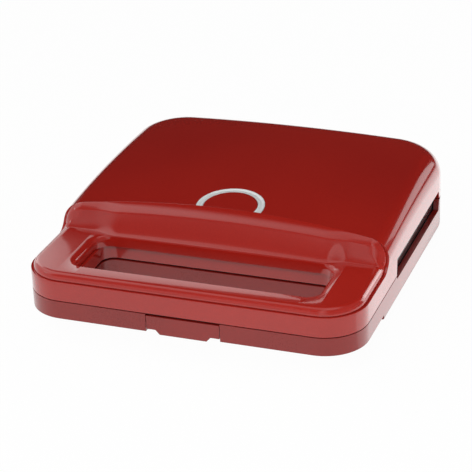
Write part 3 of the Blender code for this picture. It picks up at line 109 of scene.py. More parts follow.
# Hand slot through both halves, measured inside the cap, and the ears at its ends.
EAR_WIDTH = 0.0315
SLOT_FRONT = 0.0170
SLOT_REACH = 0.0460
SLOT_CORNER = 0.0115
SLOT_FLARE_END = 0.0065
SLOT_FLARE_FRONT = 0.0016
SLOT_FLARE_DEPTH = 0.0040
SLOT_SET_BACK = 0.0035
SLOT_TUBE_STEP = 0.0022

# Ring inlay on the lid, its centre behind the cap's back line.
RING_OFFSET = 0.0052
RING_RADIUS = 0.0232
RING_WIDTH = 0.0045
RING_DEPTH = 0.0008
RING_PROUD = 0.0002

# Hot plates, and the room between them and the hand slot.
PLATE_INSET = 0.0045
PLATE_SET_BACK = 0.0288
PLATE_FRONT_CORNER = 0.010
PLATE_RIM = 0.0070
PLATE_EDGE_ROUND = 0.0020
PLATE_WALL = 0.0026
WELL_DRAFT = 0.0040
MEETING_GAP = 0.0006
WELL_DEPTH = 0.0064
PLATE_SKIRT = 0.0014
RIB_PITCH = 0.0098
RIB_HEIGHT = 0.0022
RIB_FOOT = 0.0052
RIB_ROOT = 0.0009
RIB_CREST = 0.0022
RIB_MARGIN = 0.0040

# Hinge at the back: its axis over the meeting plates, and its distance in from each side.
HINGE_RADIUS = 0.0045
HINGE_STANDOFF = 0.0052
HINGE_RISE = 0.0005
HINGE_INSET = 0.041
LID_KNUCKLE = 0.0114
BASE_KNUCKLE = 0.0060
KNUCKLE_GAP = 0.0004
PIN_RADIUS = 0.00175
WEB_HEIGHT = 0.0108

# Latch at the front, and the degrees between the points round its cheeks.
LATCH_WIDTH = 0.0498
LATCH_THICKNESS = 0.0024
LATCH_TOP_GAP = 0.0011
LATCH_HANG = 0.0013
LATCH_NOTCH = 0.0031
LATCH_TAB_WIDTH = 0.0320
LATCH_TAB_SLOPE = 0.0028
LATCH_PIVOT_BACK = 0.0075
LATCH_PIVOT_DROP = 0.00685
LATCH_PIN_RADIUS = 0.00125
HOOK_WIDTH = 0.014
HOOK_REACH = 0.0018
HOOK_THICKNESS = 0.0026
HOOK_HEAD = 0.0032
CHEEK_TURN = 30

# Rims, frames and plates inside the two halves.
RIM_WIDTH = 0.0040
RIM_DEPTH = 0.0033
SHELF_WIDTH = 0.0065
HANDLE_PLATE_THICKNESS = 0.0030
FRAME_THICKNESS = 0.0030
PAD_HEIGHT = 0.0015

# Screws and feet.
SCREW_RADIUS = 0.0015
SCREW_HEAD = 0.0029
SCREW_HEAD_HEIGHT = 0.0018
PAD_RADIUS = 0.0047
BASE_SCREW_INSET = 0.0195
BASE_SCREW_FRONT = 0.0060
BASE_SCREW_BACK = 0.0400
FOOT_RADIUS = 0.0080
FOOT_SEAT = 0.0011
FOOT_INSET = 0.0330
FOOT_SET_BACK = 0.0032
FOOT_BACK = 0.0300

# Heating and wiring, over the room for the wires in the belly.
WIRING_ROOM = 0.0108
ELEMENT_RADIUS = 0.00325
SHIELD_THICKNESS = 0.0008
GLAND_RISE = 0.0072
GLAND_RADIUS = 0.0049

# Places in the plan.
HINGE_PROUD = HINGE_STANDOFF + HINGE_RADIUS
BODY_Y = -HINGE_PROUD / 2
FRONT_Y = BODY_Y - BODY_DEPTH / 2
REAR_Y = BODY_Y + BODY_DEPTH / 2
HALF_WIDTH = BODY_WIDTH / 2
AHEAD = FRONT_Y - OVERRUN
PAST_SIDE = HALF_WIDTH + OVERRUN
HINGE_Y = REAR_Y + HINGE_STANDOFF
LATCH_Y = FRONT_Y + LATCH_PIVOT_BACK
SLOT_WIDTH = BODY_WIDTH - 2 * EAR_WIDTH
SLOT_BACK = SLOT_FRONT + SLOT_REACH
HANDLE_LENGTH = SLOT_BACK + HANDLE_SPARE
EAR_FOOT = SLOT_BACK + EAR_SET_BACK
PLATE_FRONT = SLOT_BACK + PLATE_SET_BACK
CAP_BACK = PLATE_FRONT - CAP_OFFSET
RING_CENTRE = CAP_BACK + RING_OFFSET
GAP_START = PLATE_FRONT + GAP_SET_BACK
GAP_END = BODY_DEPTH - GAP_BACK
CROWN_PEAK = BODY_DEPTH - CROWN_BACK
HINGE_PLACE = HALF_WIDTH - HINGE_INSET

# Heights over the table, upwards from the belly's floor.
FLOOR_TOP = BELLY_BOTTOM + SHELL_WALL
FRAME_BOSS_FOOT = FLOOR_TOP + PAD_HEIGHT
SHIELD_HEIGHT = FLOOR_TOP + WIRING_ROOM + SHIELD_THICKNESS
ELEMENT_HEIGHT = SHIELD_HEIGHT + SEAT_GAP + ELEMENT_RADIUS
PLATE_BACK = ELEMENT_HEIGHT + ELEMENT_RADIUS + SEAT_GAP
LOWER_MEETING = PLATE_BACK + PLATE_WALL + WELL_DEPTH
MEETING_HEIGHT = LOWER_MEETING + MEETING_GAP / 2
UPPER_MEETING = MEETING_HEIGHT + MEETING_GAP / 2
FRAME_TOP = PLATE_BACK - PLATE_SKIRT - SEAT_GAP
SHELF_TOP = FRAME_TOP - FRAME_THICKNESS - SEAT_GAP
HINGE_HEIGHT = MEETING_HEIGHT + HINGE_RISE
REAR_BASE_TOP = HINGE_HEIGHT - REAR_BASE_DROP
REAR_LID_BOTTOM = HINGE_HEIGHT + REAR_LID_RISE
SIDE_BASE_TOP = MEETING_HEIGHT - SIDE_BASE_DROP
SIDE_LID_BOTTOM = MEETING_HEIGHT + SIDE_LID_RISE
FRONT_PARTING = MEETING_HEIGHT - PARTING_DROP
BASE_EDGE = FRONT_PARTING - PARTING_GAP / 2
LID_EDGE = FRONT_PARTING + PARTING_GAP / 2
HANDLE_BOTTOM = BASE_EDGE - HANDLE_DEPTH
SIDE_BOTTOM = HANDLE_BOTTOM - HANDLE_STEP
LATCH_BOTTOM = HANDLE_BOTTOM - LATCH_HANG
LATCH_PIVOT_HEIGHT = BASE_EDGE - LATCH_PIVOT_DROP
CAP_SEAM = LID_EDGE + CAP_BAND
CAP_SKIRT = CAP_SEAM - SKIRT_DROP
CAP_FLAT = CAP_SEAM + CAP_RISE
LID_TOP = MEETING_HEIGHT + LID_RISE
OVERHEAD = LID_TOP + OVERRUN

# Shares of a named size, for the hinge's web and the latch.
WEB_NEAR_SHARE = 0.9
WEB_SHOULDER_SHARE = 0.66
LATCH_ROOM_SHARE = 0.6
EAR_WIDTH_SHARE = 1.5
EAR_REACH_SHARE = 0.46
HOOK_NOSE_SHARE = 0.35

# How finely round shapes are cut.
CORNER_STEPS = 16
ROUND_STEPS = 12
PIPE_SIDES = 40
SIDE_STEPS = 13
COARSE_SIDE_STEPS = 7
SMALL_SIDES = 24
SMALL_ROUND_STEPS = 5
CAP_CORNER_STEPS = 14
CAP_SIDE_STEPS = 48
CAP_COLUMN_STEPS = 60
CAP_FACE_STEPS = 40
ACROSS_STEPS = 16
BOW_STEPS = 40
RING_STEPS = 120
FLARE_STEPS = 8
HOOD_SHARES = (0.9, 0.8, 0.7, 0.6, 0.5, 0.4, 0.3, 0.2, 0.1, 0.03)

# The cap's flare and rounded edge, in degrees, and the shape of its brow.
FLARE_START = 15
FLARE_RUN_SHARE = 0.8
EDGE_TURN = 80
BROW_SHARE = 0.44
BROW_DROP_SHARE = 0.24
BROW_BEND = 1.3
SLOPE_BEND = 1.5

# How much wider the parting is inside the hand slot.
SLOT_PARTING_EXTRA = 0.0010

# The ring's lips and how deep it is dished between them.
RING_LIP = 0.0008
RING_DISH = 0.0005
RING_DISH_SHARES = (0, 0.15, 0.3, 0.5, 0.7, 0.85, 1)

# Shading: how wide an edge looks rounded, and from which angle in degrees an edge stays sharp.
EDGE_SOFTNESS = 0.0004
EDGE_SAMPLES = 6
SHARP_ANGLE = 32

# Studio.
FLOOR_SIZE = 6.0
FLOOR_TONE = 0.9
FLOOR_ROUGHNESS = 0.9
FLOOR_GLOW_SHARE = 0.97
AIM = Vector((0.0, -0.00485, 0.03875))
OVER_FLOOR_CARD = Vector((0.43, 0.35, 1.0))
# The studio's tones at degrees from the back towards the right, low down, higher up and overhead.
LOW_TONES = ((-180, 0.35), (-150, 0.7), (-60, 0.85), (-46, 0.5), (-38, 0.02), (20, 0.02), (60, 0.12),
             (120, 0.3), (150, 0.3), (180, 0.35))
HIGH_TONES = ((-180, 0.12), (-130, 0.2), (-112, 1.15), (-60, 1.25), (-42, 0.02), (20, 0.02), (60, 0.2),
              (120, 0.2), (150, 0.15), (180, 0.12))
CEILING_TONES = ((-180, 0.6), (180, 0.6))
HIGH_STARTS = (0.4, 0.7)
CEILING_STARTS = (0.9, 0.97)
# The photograph's camera: degrees round and up from the front, degrees of roll, and lens.
PHOTO_WIDTH = 472
CAMERA_TURN = 20.445
CAMERA_RISE = 25.614
CAMERA_ROLL = -2.06
CAMERA_DISTANCE = 1.2652
CAMERA_SHIFT = (-0.0198, -0.0205)
SENSOR_WIDTH = 36
FOCAL_PIXELS = 1841.9


def add_object(name, data):
    made = bpy.data.objects.new(name, data)
    bpy.context.scene.collection.objects.link(made)
    return made


def mesh_object(name, mesh, finish=None):
    """A shape in the scene. One with no finish is a tool that only cuts or joins, and goes later."""
    data = bpy.data.meshes.new(name)
    bmesh.ops.recalc_face_normals(mesh, faces=mesh.faces)
    mesh.to_mesh(data)
    mesh.free()
    made = add_object(name, data)
    if finish is None:
        TOOLS.append(made)
    else:
        data.materials.append(finish)
    return made


def loft(name, rings, finish=None, ends=(0, -1), around=False):
    """Joins rings of equally many points. Its ends are filled, or with around set they meet."""
    mesh = bmesh.new()
    rows = [[mesh.verts.new(point) for point in ring] for ring in rings]
    pairs = list(zip(rows, rows[1:]))
    if around:
        pairs.append((rows[-1], rows[0]))
    for low, high in pairs:
        for i in range(len(low)):
            j = (i + 1) % len(low)
            mesh.faces.new((low[i], low[j], high[j], high[i]))
    for end in () if around else ends:
        mesh.faces.new(rows[end])
    return mesh_object(name, mesh, finish)


def at_height(plan, height):
    return [(x, y, height) for x, y in plan]


def prism(name, plan, bottom, top):
    """A plan raised from one height to another."""
    return loft(name, [at_height(plan, bottom), at_height(plan, top)])


def side_prism(name, outline, left=-PAST_SIDE, right=PAST_SIDE):
    """An outline in Y and Z, drawn across from one X to another."""
    return loft(name, [[(x, y, z) for y, z in outline] for x in (left, right)])


def box(name, low, high):
    mesh = bmesh.new()
    size = [b - a for a, b in zip(low, high)]
    middle = [(a + b) / 2 for a, b in zip(low, high)]
    bmesh.ops.create_cube(mesh, size=1.0, matrix=Matrix.Translation(middle) @ Matrix.Diagonal((*size, 1.0)))
    return mesh_object(name, mesh)


def rod(name, centre, radius, length, axis="Z", sides=PIPE_SIDES):
    """A cylinder about its centre."""
    mesh = bmesh.new()
    turn = {"Z": Matrix(), "X": Matrix.Rotation(pi / 2, 4, "Y"), "Y": Matrix.Rotation(pi / 2, 4, "X")}
    bmesh.ops.create_cone(mesh, cap_ends=True, segments=sides, radius1=radius, radius2=radius, depth=length,
                          matrix=Matrix.Translation(centre) @ turn[axis])
    return mesh_object(name, mesh)


def combine(obj, other, operation):
    change = obj.modifiers.new(f"{operation.lower()} {other.name}", "BOOLEAN")
    change.operation = operation
    change.object = other
    change.solver = "EXACT"
    return obj


def cut(obj, *cutters):
    for cutter in cutters:
        combine(obj, cutter, "DIFFERENCE")
    return obj


def join(obj, *others):
    for other in others:
        combine(obj, other, "UNION")
    return obj


def arc(centre_x, centre_y, radius, start, steps=CORNER_STEPS):
    """A quarter turn of points from an angle in degrees."""
    angles = [radians(start + 90 * i / steps) for i in range(steps + 1)]
    return [(centre_x + radius * cos(a), centre_y + radius * sin(a)) for a in angles]


def quarter_turn(steps):
    return [radians(90 * i / steps) for i in range(steps + 1)]


def stretch(start, end, steps):
    """The points that divide the way between two ends into steps, without the ends."""
    return [tuple(Vector(start).lerp(Vector(end), k / steps)) for k in range(1, steps)]


def rounded(side, front, back, front_radius, back_radius, steps=1):
    """A rounded rectangle, anticlockwise from its front right corner, its sides divided into steps."""
    near, far = front + front_radius, back - back_radius
    narrow, wide = side - front_radius, side - back_radius
    corners = [arc(narrow, near, front_radius, -90), arc(wide, far, back_radius, 0),
               arc(-wide, far, back_radius, 90), arc(-narrow, near, front_radius, 180)]
    points = []
    for corner, following in zip(corners, corners[1:] + corners[:1]):
        points += corner + stretch(corner[-1], following[0], steps)
    return points


def room_plan(inset, start, front_radius=PLATE_FRONT_CORNER, steps=1):
    """An outline seen from above, behind a line across the body and moved in from its sides and back."""
    side, back, back_radius = HALF_WIDTH - inset, REAR_Y - inset, REAR_CORNER - inset
    return rounded(side, FRONT_Y + start, back, front_radius, back_radius, steps)


def body_plan(inset, steps=1):
    """The body's outline seen from above, moved inwards."""
    return room_plan(inset, inset, FRONT_CORNER - inset, steps)


def slot_plan(grow, step=0.0, set_back=0.0):
    """The hand slot's outline seen from above, moved outwards."""
    radius = SLOT_CORNER - step + grow
    front, back = FRONT_Y + SLOT_FRONT + step - grow, FRONT_Y + SLOT_BACK + set_back + grow
    return rounded(SLOT_WIDTH / 2 - step + grow, front, back, radius, radius)


def tube_plan(grow):
    """The outline of the slot's walls below the cap, which lie further back and closer together."""
    return slot_plan(grow, SLOT_TUBE_STEP, SLOT_SET_BACK)


def smooth(low, high, value):
    share = min(max((value - low) / (high - low), 0.0), 1.0)
    return share * share * (3 - 2 * share)


def crown(x, y):
    """The height of the lid's crowned top, before its edge is rounded."""
    peak = FRONT_Y + CROWN_PEAK
    side_share = (x / HALF_WIDTH) ** 2
    front_share = ((y - peak) / CROWN_PEAK) ** 2
    return LID_TOP - CROWN_SIDE_FALL * side_share - CROWN_FRONT_FALL * front_share


def lid_round(y):
    """The radius of the lid's rounded edge, larger towards the back."""
    return LID_ROUND_FRONT + (LID_ROUND_REAR - LID_ROUND_FRONT) * smooth(FRONT_Y + CAP_BACK, REAR_Y, y)


def hood_rings(inset, base, steps):
    """Rings up the lid's wall, round its edge and in over its crown."""
    side_steps = SIDE_STEPS if inset == 0 else COARSE_SIDE_STEPS
    foot = body_plan(inset, side_steps)
    inner = body_plan(inset + LID_ROUND_REAR, side_steps)
    rings = [at_height(foot, base)]
    for angle in quarter_turn(steps):
        ring = []
        for (x, y), (inner_x, inner_y) in zip(foot, inner):
            radius = lid_round(y)
            share = (1 - cos(angle)) * radius / LID_ROUND_REAR
            px, py = x + (inner_x - x) * share, y + (inner_y - y) * share
            ring.append((px, py, crown(px, py) - inset - radius * (1 - sin(angle))))
        rings.append(ring)
    last, middle = rings[-1], Vector((0.0, BODY_Y))
    for share in HOOD_SHARES:
        places = [(x * share, middle.y + (y - middle.y) * share) for x, y, _ in last]
        rings.append([(x, y, crown(x, y) - inset) for x, y in places])
    return rings


def cap_back(x):
    """The line across the lid where the handle cap ends."""
    return FRONT_Y + CAP_BACK - CAP_BOW * (x / HALF_WIDTH) ** 2


def bowed_block(name, gap, section):
    """A block drawn across the lid, with its section in Y and Z following the cap's back line."""
    rings = []
    for k in range(BOW_STEPS + 1):
        x = PAST_SIDE * (2 * k / BOW_STEPS - 1)
        rings.append([(x, y, z) for y, z in section(cap_back(x) + gap)])
    return loft(name, rings)


def cap_space(name, gap, floor):
    """The room that the cap takes from the lid: everything in front of its back line and over its deck."""
    def section(back):
        bend = [(back - CAP_FILLET * (1 - sin(a)), floor + CAP_FILLET * (1 - cos(a)))
                for a in quarter_turn(ROUND_STEPS)]
        return [(AHEAD, OVERHEAD), (AHEAD, floor), *bend, (back, OVERHEAD)]

    return bowed_block(name, gap, section)


def parting_line(front, side, rear):
    """The side view of a half's edge: its heights at the handle, along the open sides and at the back."""
    start, end = FRONT_Y + GAP_START, FRONT_Y + GAP_END
    return [(AHEAD, front), (start, front), (start + GAP_RAMP / 2, side),
            (end, side), (end + GAP_RAMP, rear), (REAR_Y + OVERRUN, rear)]


def make_lid_hood():
    """The lid's shell: a crowned hood with a deck for the cap, walls round the hand slot, and knuckles."""
    hood = loft("lid_hood", hood_rings(0.0, FRONT_PARTING - OVERRUN, ROUND_STEPS), RED_GLOSS)
    edge = parting_line(LID_EDGE, SIDE_LID_BOTTOM, REAR_LID_BOTTOM)
    under = side_prism("lid_edge_cutter", edge + [(REAR_Y + OVERRUN, -OVERRUN), (AHEAD, -OVERRUN)])
    cap_room = cap_space("cap_room_cutter", SEAT_GAP, CAP_SEAM - SEAT_GAP)
    hollow = loft("lid_hollow", hood_rings(SHELL_WALL, -OVERRUN, ROUND_STEPS - 2))
    roof = cap_space("lid_hollow_roof", SEAT_GAP + SHELL_WALL, CAP_SEAM - SEAT_GAP - SHELL_WALL)
    cut(hollow, roof, prism("lid_tube_core", tube_plan(SHELL_WALL), -HALF_WIDTH, HALF_WIDTH))
    mouth = prism("lid_slot_cutter", tube_plan(0.0), -OVERRUN, LID_TOP)
    skirt_room = prism("cap_skirt_cutter", slot_plan(CAP_WALL + SEAT_GAP), CAP_SKIRT - SEAT_GAP, LID_TOP)
    slot_edge = prism("slot_parting_cutter", tube_plan(SHELL_WALL + SEAT_GAP), LID_EDGE - OVERRUN,
                      LID_EDGE + SLOT_PARTING_EXTRA)
    cut(hood, under, cap_room, hollow, mouth, skirt_room, slot_edge, ring_groove())
    for _, (left, right), _ in hinge_spans():
        join(hood, *hinge_arm(f"lid_knuckle_{left:.3f}", left, right, True))
    return cut(hood, hinge_bore("lid_hinge_bore"))


def slope_foot(x):
    """The line where the cap's slope meets its flat: behind the slot, and further back beside it."""
    inner = SLOT_WIDTH / 2 - SLOT_CORNER
    outer = SLOT_WIDTH / 2 + SLOT_FLARE_END
    return FRONT_Y + SLOT_BACK + (EAR_FOOT - SLOT_BACK) * smooth(inner, outer, abs(x))


def cap_height(x, y):
    """The cap's top before its outer edge is rounded: flat round the slot, a brow up to its back line."""
    back = cap_back(x)
    ridge = crown(x, back) + CAP_PROUD
    share = (back - y) / (back - slope_foot(x))
    if share <= 0:
        return ridge
    if share >= 1:
        return CAP_FLAT
    if share < BROW_SHARE:
        part = 1 - BROW_DROP_SHARE * (share / BROW_SHARE) ** BROW_BEND
    else:
        part = (1 - BROW_DROP_SHARE) * ((1 - share) / (1 - BROW_SHARE)) ** SLOPE_BEND
    return CAP_FLAT + (ridge - CAP_FLAT) * part


def four_sides(half, front, back, front_radius, back_radius, side_steps=1):
    """A rounded outline with its long sides, its front and its back divided into steps."""
    front_right = arc(half - front_radius, front + front_radius, front_radius, -90, CAP_CORNER_STEPS)
    back_right = arc(half - back_radius, back - back_radius, back_radius, 0, CAP_CORNER_STEPS)
    right = front_right + stretch(front_right[-1], back_right[0], side_steps) + back_right
    left = [(-x, y) for x, y in reversed(right)]
    behind = stretch(right[-1], left[0], ACROSS_STEPS)
    return right + behind + left + stretch(left[-1], right[0], ACROSS_STEPS)


def cap_face(name, shift, drop):
    """Everything under the cap's top surface, with that surface moved back and down."""
    floor = CAP_SKIRT - 2 * OVERRUN
    rings = []
    for column in range(-CAP_COLUMN_STEPS, CAP_COLUMN_STEPS + 1):
        x = PAST_SIDE * (column / CAP_COLUMN_STEPS)
        back, foot = cap_back(x), slope_foot(x)
        end = back + CAP_SPARE + LID_ROUND_REAR
        ring = [(x, AHEAD, floor), (x, AHEAD, CAP_FLAT - drop)]
        for k in range(CAP_FACE_STEPS + 1):
            y = back - (back - foot) * (1 - k / CAP_FACE_STEPS)
            ring.append((x, y + shift, cap_height(x, y) - drop))
        rings.append(ring + [(x, end, cap_height(x, end) - drop), (x, end, floor)])
    return loft(name, rings)


def cap_block(name, wall, foot, finish=None):
    """The cap's solid block with its rounded edge, or with a wall given the room inside that wall."""
    front, back = FRONT_Y + CAP_INSET, FRONT_Y + CAP_BACK + CAP_SPARE
    plan = four_sides(HALF_WIDTH - CAP_INSET, front, back, FRONT_CORNER - CAP_INSET, LID_ROUND_REAR,
                      CAP_SIDE_STEPS)
    outline = [Vector(p) for p in plan]
    rings = [[] for _ in range(ROUND_STEPS + 4)]
    for i, point in enumerate(outline):
        along = outline[(i + 1) % len(outline)] - outline[i - 1]
        turn = Vector((-along.y, along.x)).normalized()
        probe = point + turn * LID_ROUND_FRONT
        bend = min(LID_ROUND_FRONT, cap_height(probe.x, probe.y) - CAP_SEAM)
        inside = point + turn * bend
        top = cap_height(inside.x, inside.y) - wall
        bend -= wall
        low = point + turn * wall
        rings[0].append((low.x, low.y, foot))
        for k in range(ROUND_STEPS + 1):
            angle = radians(EDGE_TURN * k / ROUND_STEPS)
            place = low + turn * bend * (1 - cos(angle))
            rings[k + 1].append((place.x, place.y, top - bend * (1 - sin(angle))))
        rise = EDGE_RUN / tan(radians(EDGE_TURN))
        out = low + turn * (bend * (1 - cos(radians(EDGE_TURN))) + EDGE_RUN)
        rings[-2].append((out.x, out.y, rings[-3][-1][2] + rise))
        rings[-1].append((out.x, out.y, OVERHEAD))
    block = loft(name, rings, finish)
    return combine(block, cap_face(name + "_face", wall, wall), "INTERSECT")


def slot_flare():
    """The cutter for the cap's hand slot, whose edge rolls over into the top surface."""
    half = SLOT_WIDTH / 2
    front, back = FRONT_Y + SLOT_FRONT, FRONT_Y + SLOT_BACK
    corner = SLOT_CORNER + SLOT_FLARE_FRONT
    top = four_sides(half + SLOT_FLARE_END, front - SLOT_FLARE_FRONT, back + SEAT_GAP, corner, corner)
    wall = four_sides(half, front, back, SLOT_CORNER, SLOT_CORNER)
    start = radians(FLARE_START)
    steps = [(start, FLARE_RUN_SHARE)]
    steps += [(start + (pi / 2 - start) * k / FLARE_STEPS, 0.0) for k in range(FLARE_STEPS + 1)]
    rings = []
    for angle, run in steps:
        across = sin(angle) - run * cos(angle)
        fall = 1 - cos(angle) - run * sin(angle)
        ring = []
        for (top_x, top_y), (wall_x, wall_y) in zip(top, wall):
            ring.append((top_x + (wall_x - top_x) * across, top_y + (wall_y - top_y) * across,
                         cap_height(top_x, top_y) - SLOT_FLARE_DEPTH * fall))
        rings.append(ring)
    above = at_height([(x, y) for x, y, _ in rings[0]], OVERHEAD)
    return loft("cap_slot_cutter", [above] + rings + [at_height(wall, CAP_SKIRT - OVERRUN)])


def behind_cap(name, gap):
    """Everything behind the cap's back line, and under the fillet where the line turns into the seam."""
    end = FRONT_Y + CAP_BACK + CAP_SPARE + OVERRUN
    below = CAP_SEAM - OVERRUN

    def section(back):
        bend = [(back - CAP_FILLET * (1 - cos(a)), CAP_SEAM + gap + CAP_FILLET * (1 - sin(a)))
                for a in quarter_turn(ROUND_STEPS)]
        return [(end, OVERHEAD), (back, OVERHEAD), *bend, (back - CAP_FILLET, below), (end, below)]

    return bowed_block(name, -gap, section)


def make_handle_cap():
    """The handle cap: a moulded shell with a brow at the back and a flared hand slot."""
    cap = cap_block("cap_moulding", 0.0, CAP_SEAM, RED_GLOSS)
    cut(cap, behind_cap("cap_back_cutter", 0.0))
    join(cap, prism("cap_skirt", slot_plan(CAP_WALL), CAP_SKIRT, CAP_SEAM + CAP_WALL))
    hollow = cap_block("cap_hollow", CAP_WALL, CAP_SKIRT - OVERRUN)
    core = prism("cap_slot_core", slot_plan(CAP_WALL), 0.0, LID_TOP)
    cut(hollow, behind_cap("cap_hollow_back", CAP_WALL), core)
    return cut(cap, hollow, slot_flare())


def crowned_ring(name, profile, finish=None):
    """A ring that follows the lid's crown, from a profile of radius and height."""
    rings = []
    for radius, height in profile:
        angles = [2 * pi * k / RING_STEPS for k in range(RING_STEPS)]
        plan = [(radius * cos(a), FRONT_Y + RING_CENTRE + radius * sin(a)) for a in angles]
        rings.append([(x, y, crown(x, y) + height) for x, y in plan])
    return loft(name, rings, finish, around=True)


def make_trim_ring():
    """The ring set in the lid, dished between two narrow lips and cut off under the cap's brow."""
    outer, inner = RING_RADIUS, RING_RADIUS - RING_WIDTH
    dished = RING_WIDTH - 2 * RING_LIP
    profile = [(outer, -RING_DEPTH), (outer, RING_PROUD)]
    for share in RING_DISH_SHARES:
        fall = RING_DISH * 4 * share * (1 - share)
        profile.append((outer - RING_LIP - dished * share, RING_PROUD - fall))
    profile += [(inner, RING_PROUD), (inner, -RING_DEPTH)]
    ring = crowned_ring("inlay_ring", profile, SILVER)
    return cut(ring, cap_space("ring_cap_cutter", SEAT_GAP + RUN_GAP, CAP_SEAM))


def ring_groove():
    """The groove in the lid that the ring lies in."""
    outer, inner = RING_RADIUS + SEAT_GAP, RING_RADIUS - RING_WIDTH - SEAT_GAP
    foot = -RING_DEPTH - SEAT_GAP
    profile = ((outer, foot), (outer, OVERRUN), (inner, OVERRUN), (inner, foot))
    return crowned_ring("ring_groove_cutter", profile)


def handle_plan(inset, end):
    """A half's inside in front of a line across it, moved in from the body's outline."""
    side = HALF_WIDTH - inset
    radius = FRONT_CORNER - inset
    outline = arc(-side + radius, FRONT_Y + inset + radius, radius, 180)
    outline += arc(side - radius, FRONT_Y + inset + radius, radius, 270)
    return outline + [(side, FRONT_Y + end), (-side, FRONT_Y + end)]


def belly_plan(inset):
    return room_plan(inset, HANDLE_LENGTH + inset - BELLY_INSET + BELLY_DRAFT)


def corner_places(inset, start, end):
    """Four places: as far in from each side, two behind the body's front and two before its back."""
    x, front, back = HALF_WIDTH - inset, FRONT_Y + start, REAR_Y - end
    return [(-x, front), (x, front), (x, back), (-x, back)]


def hinge_arm(name, left, right, towards_lid):
    """A hinge knuckle with the slimmer web that joins it to a half's back wall, below or above the axis."""
    side = 1 if towards_lid else -1
    wall = REAR_Y - SHELL_WALL / 2
    shoulder = HINGE_RADIUS * WEB_SHOULDER_SHARE
    near = REAR_LID_BOTTOM + RUN_GAP if towards_lid else REAR_BASE_TOP - RUN_GAP
    middle = ((left + right) / 2, HINGE_Y, HINGE_HEIGHT)
    disc = rod(name + "_disc", middle, HINGE_RADIUS, right - left, "X")
    web = [(wall, near), (HINGE_Y - HINGE_RADIUS * WEB_NEAR_SHARE, near), (HINGE_Y, HINGE_HEIGHT),
           (HINGE_Y + shoulder, HINGE_HEIGHT + side * shoulder), (wall, HINGE_HEIGHT + side * WEB_HEIGHT)]
    return disc, side_prism(name + "_web", web, left + RUN_GAP, right - RUN_GAP)


def hinge_spans():
    """For each hinge, the X ranges of its two base knuckles and of the lid's knuckle between them."""
    spans = []
    for middle in (-HINGE_PLACE, HINGE_PLACE):
        left, right = middle - LID_KNUCKLE / 2, middle + LID_KNUCKLE / 2
        near = (left - KNUCKLE_GAP - BASE_KNUCKLE, left - KNUCKLE_GAP)
        far = (right + KNUCKLE_GAP, right + KNUCKLE_GAP + BASE_KNUCKLE)
        spans.append((near, (left, right), far))
    return spans


def bore(name, centre, radius, length, axis="Z", sides=PIPE_SIDES):
    """The hole for a pin, screw or foot of that radius."""
    return rod(name, centre, radius + SEAT_GAP, length, axis, sides)


def hinge_bore(name):
    return bore(name, (0.0, HINGE_Y, HINGE_HEIGHT), PIN_RADIUS, BODY_WIDTH, "X")


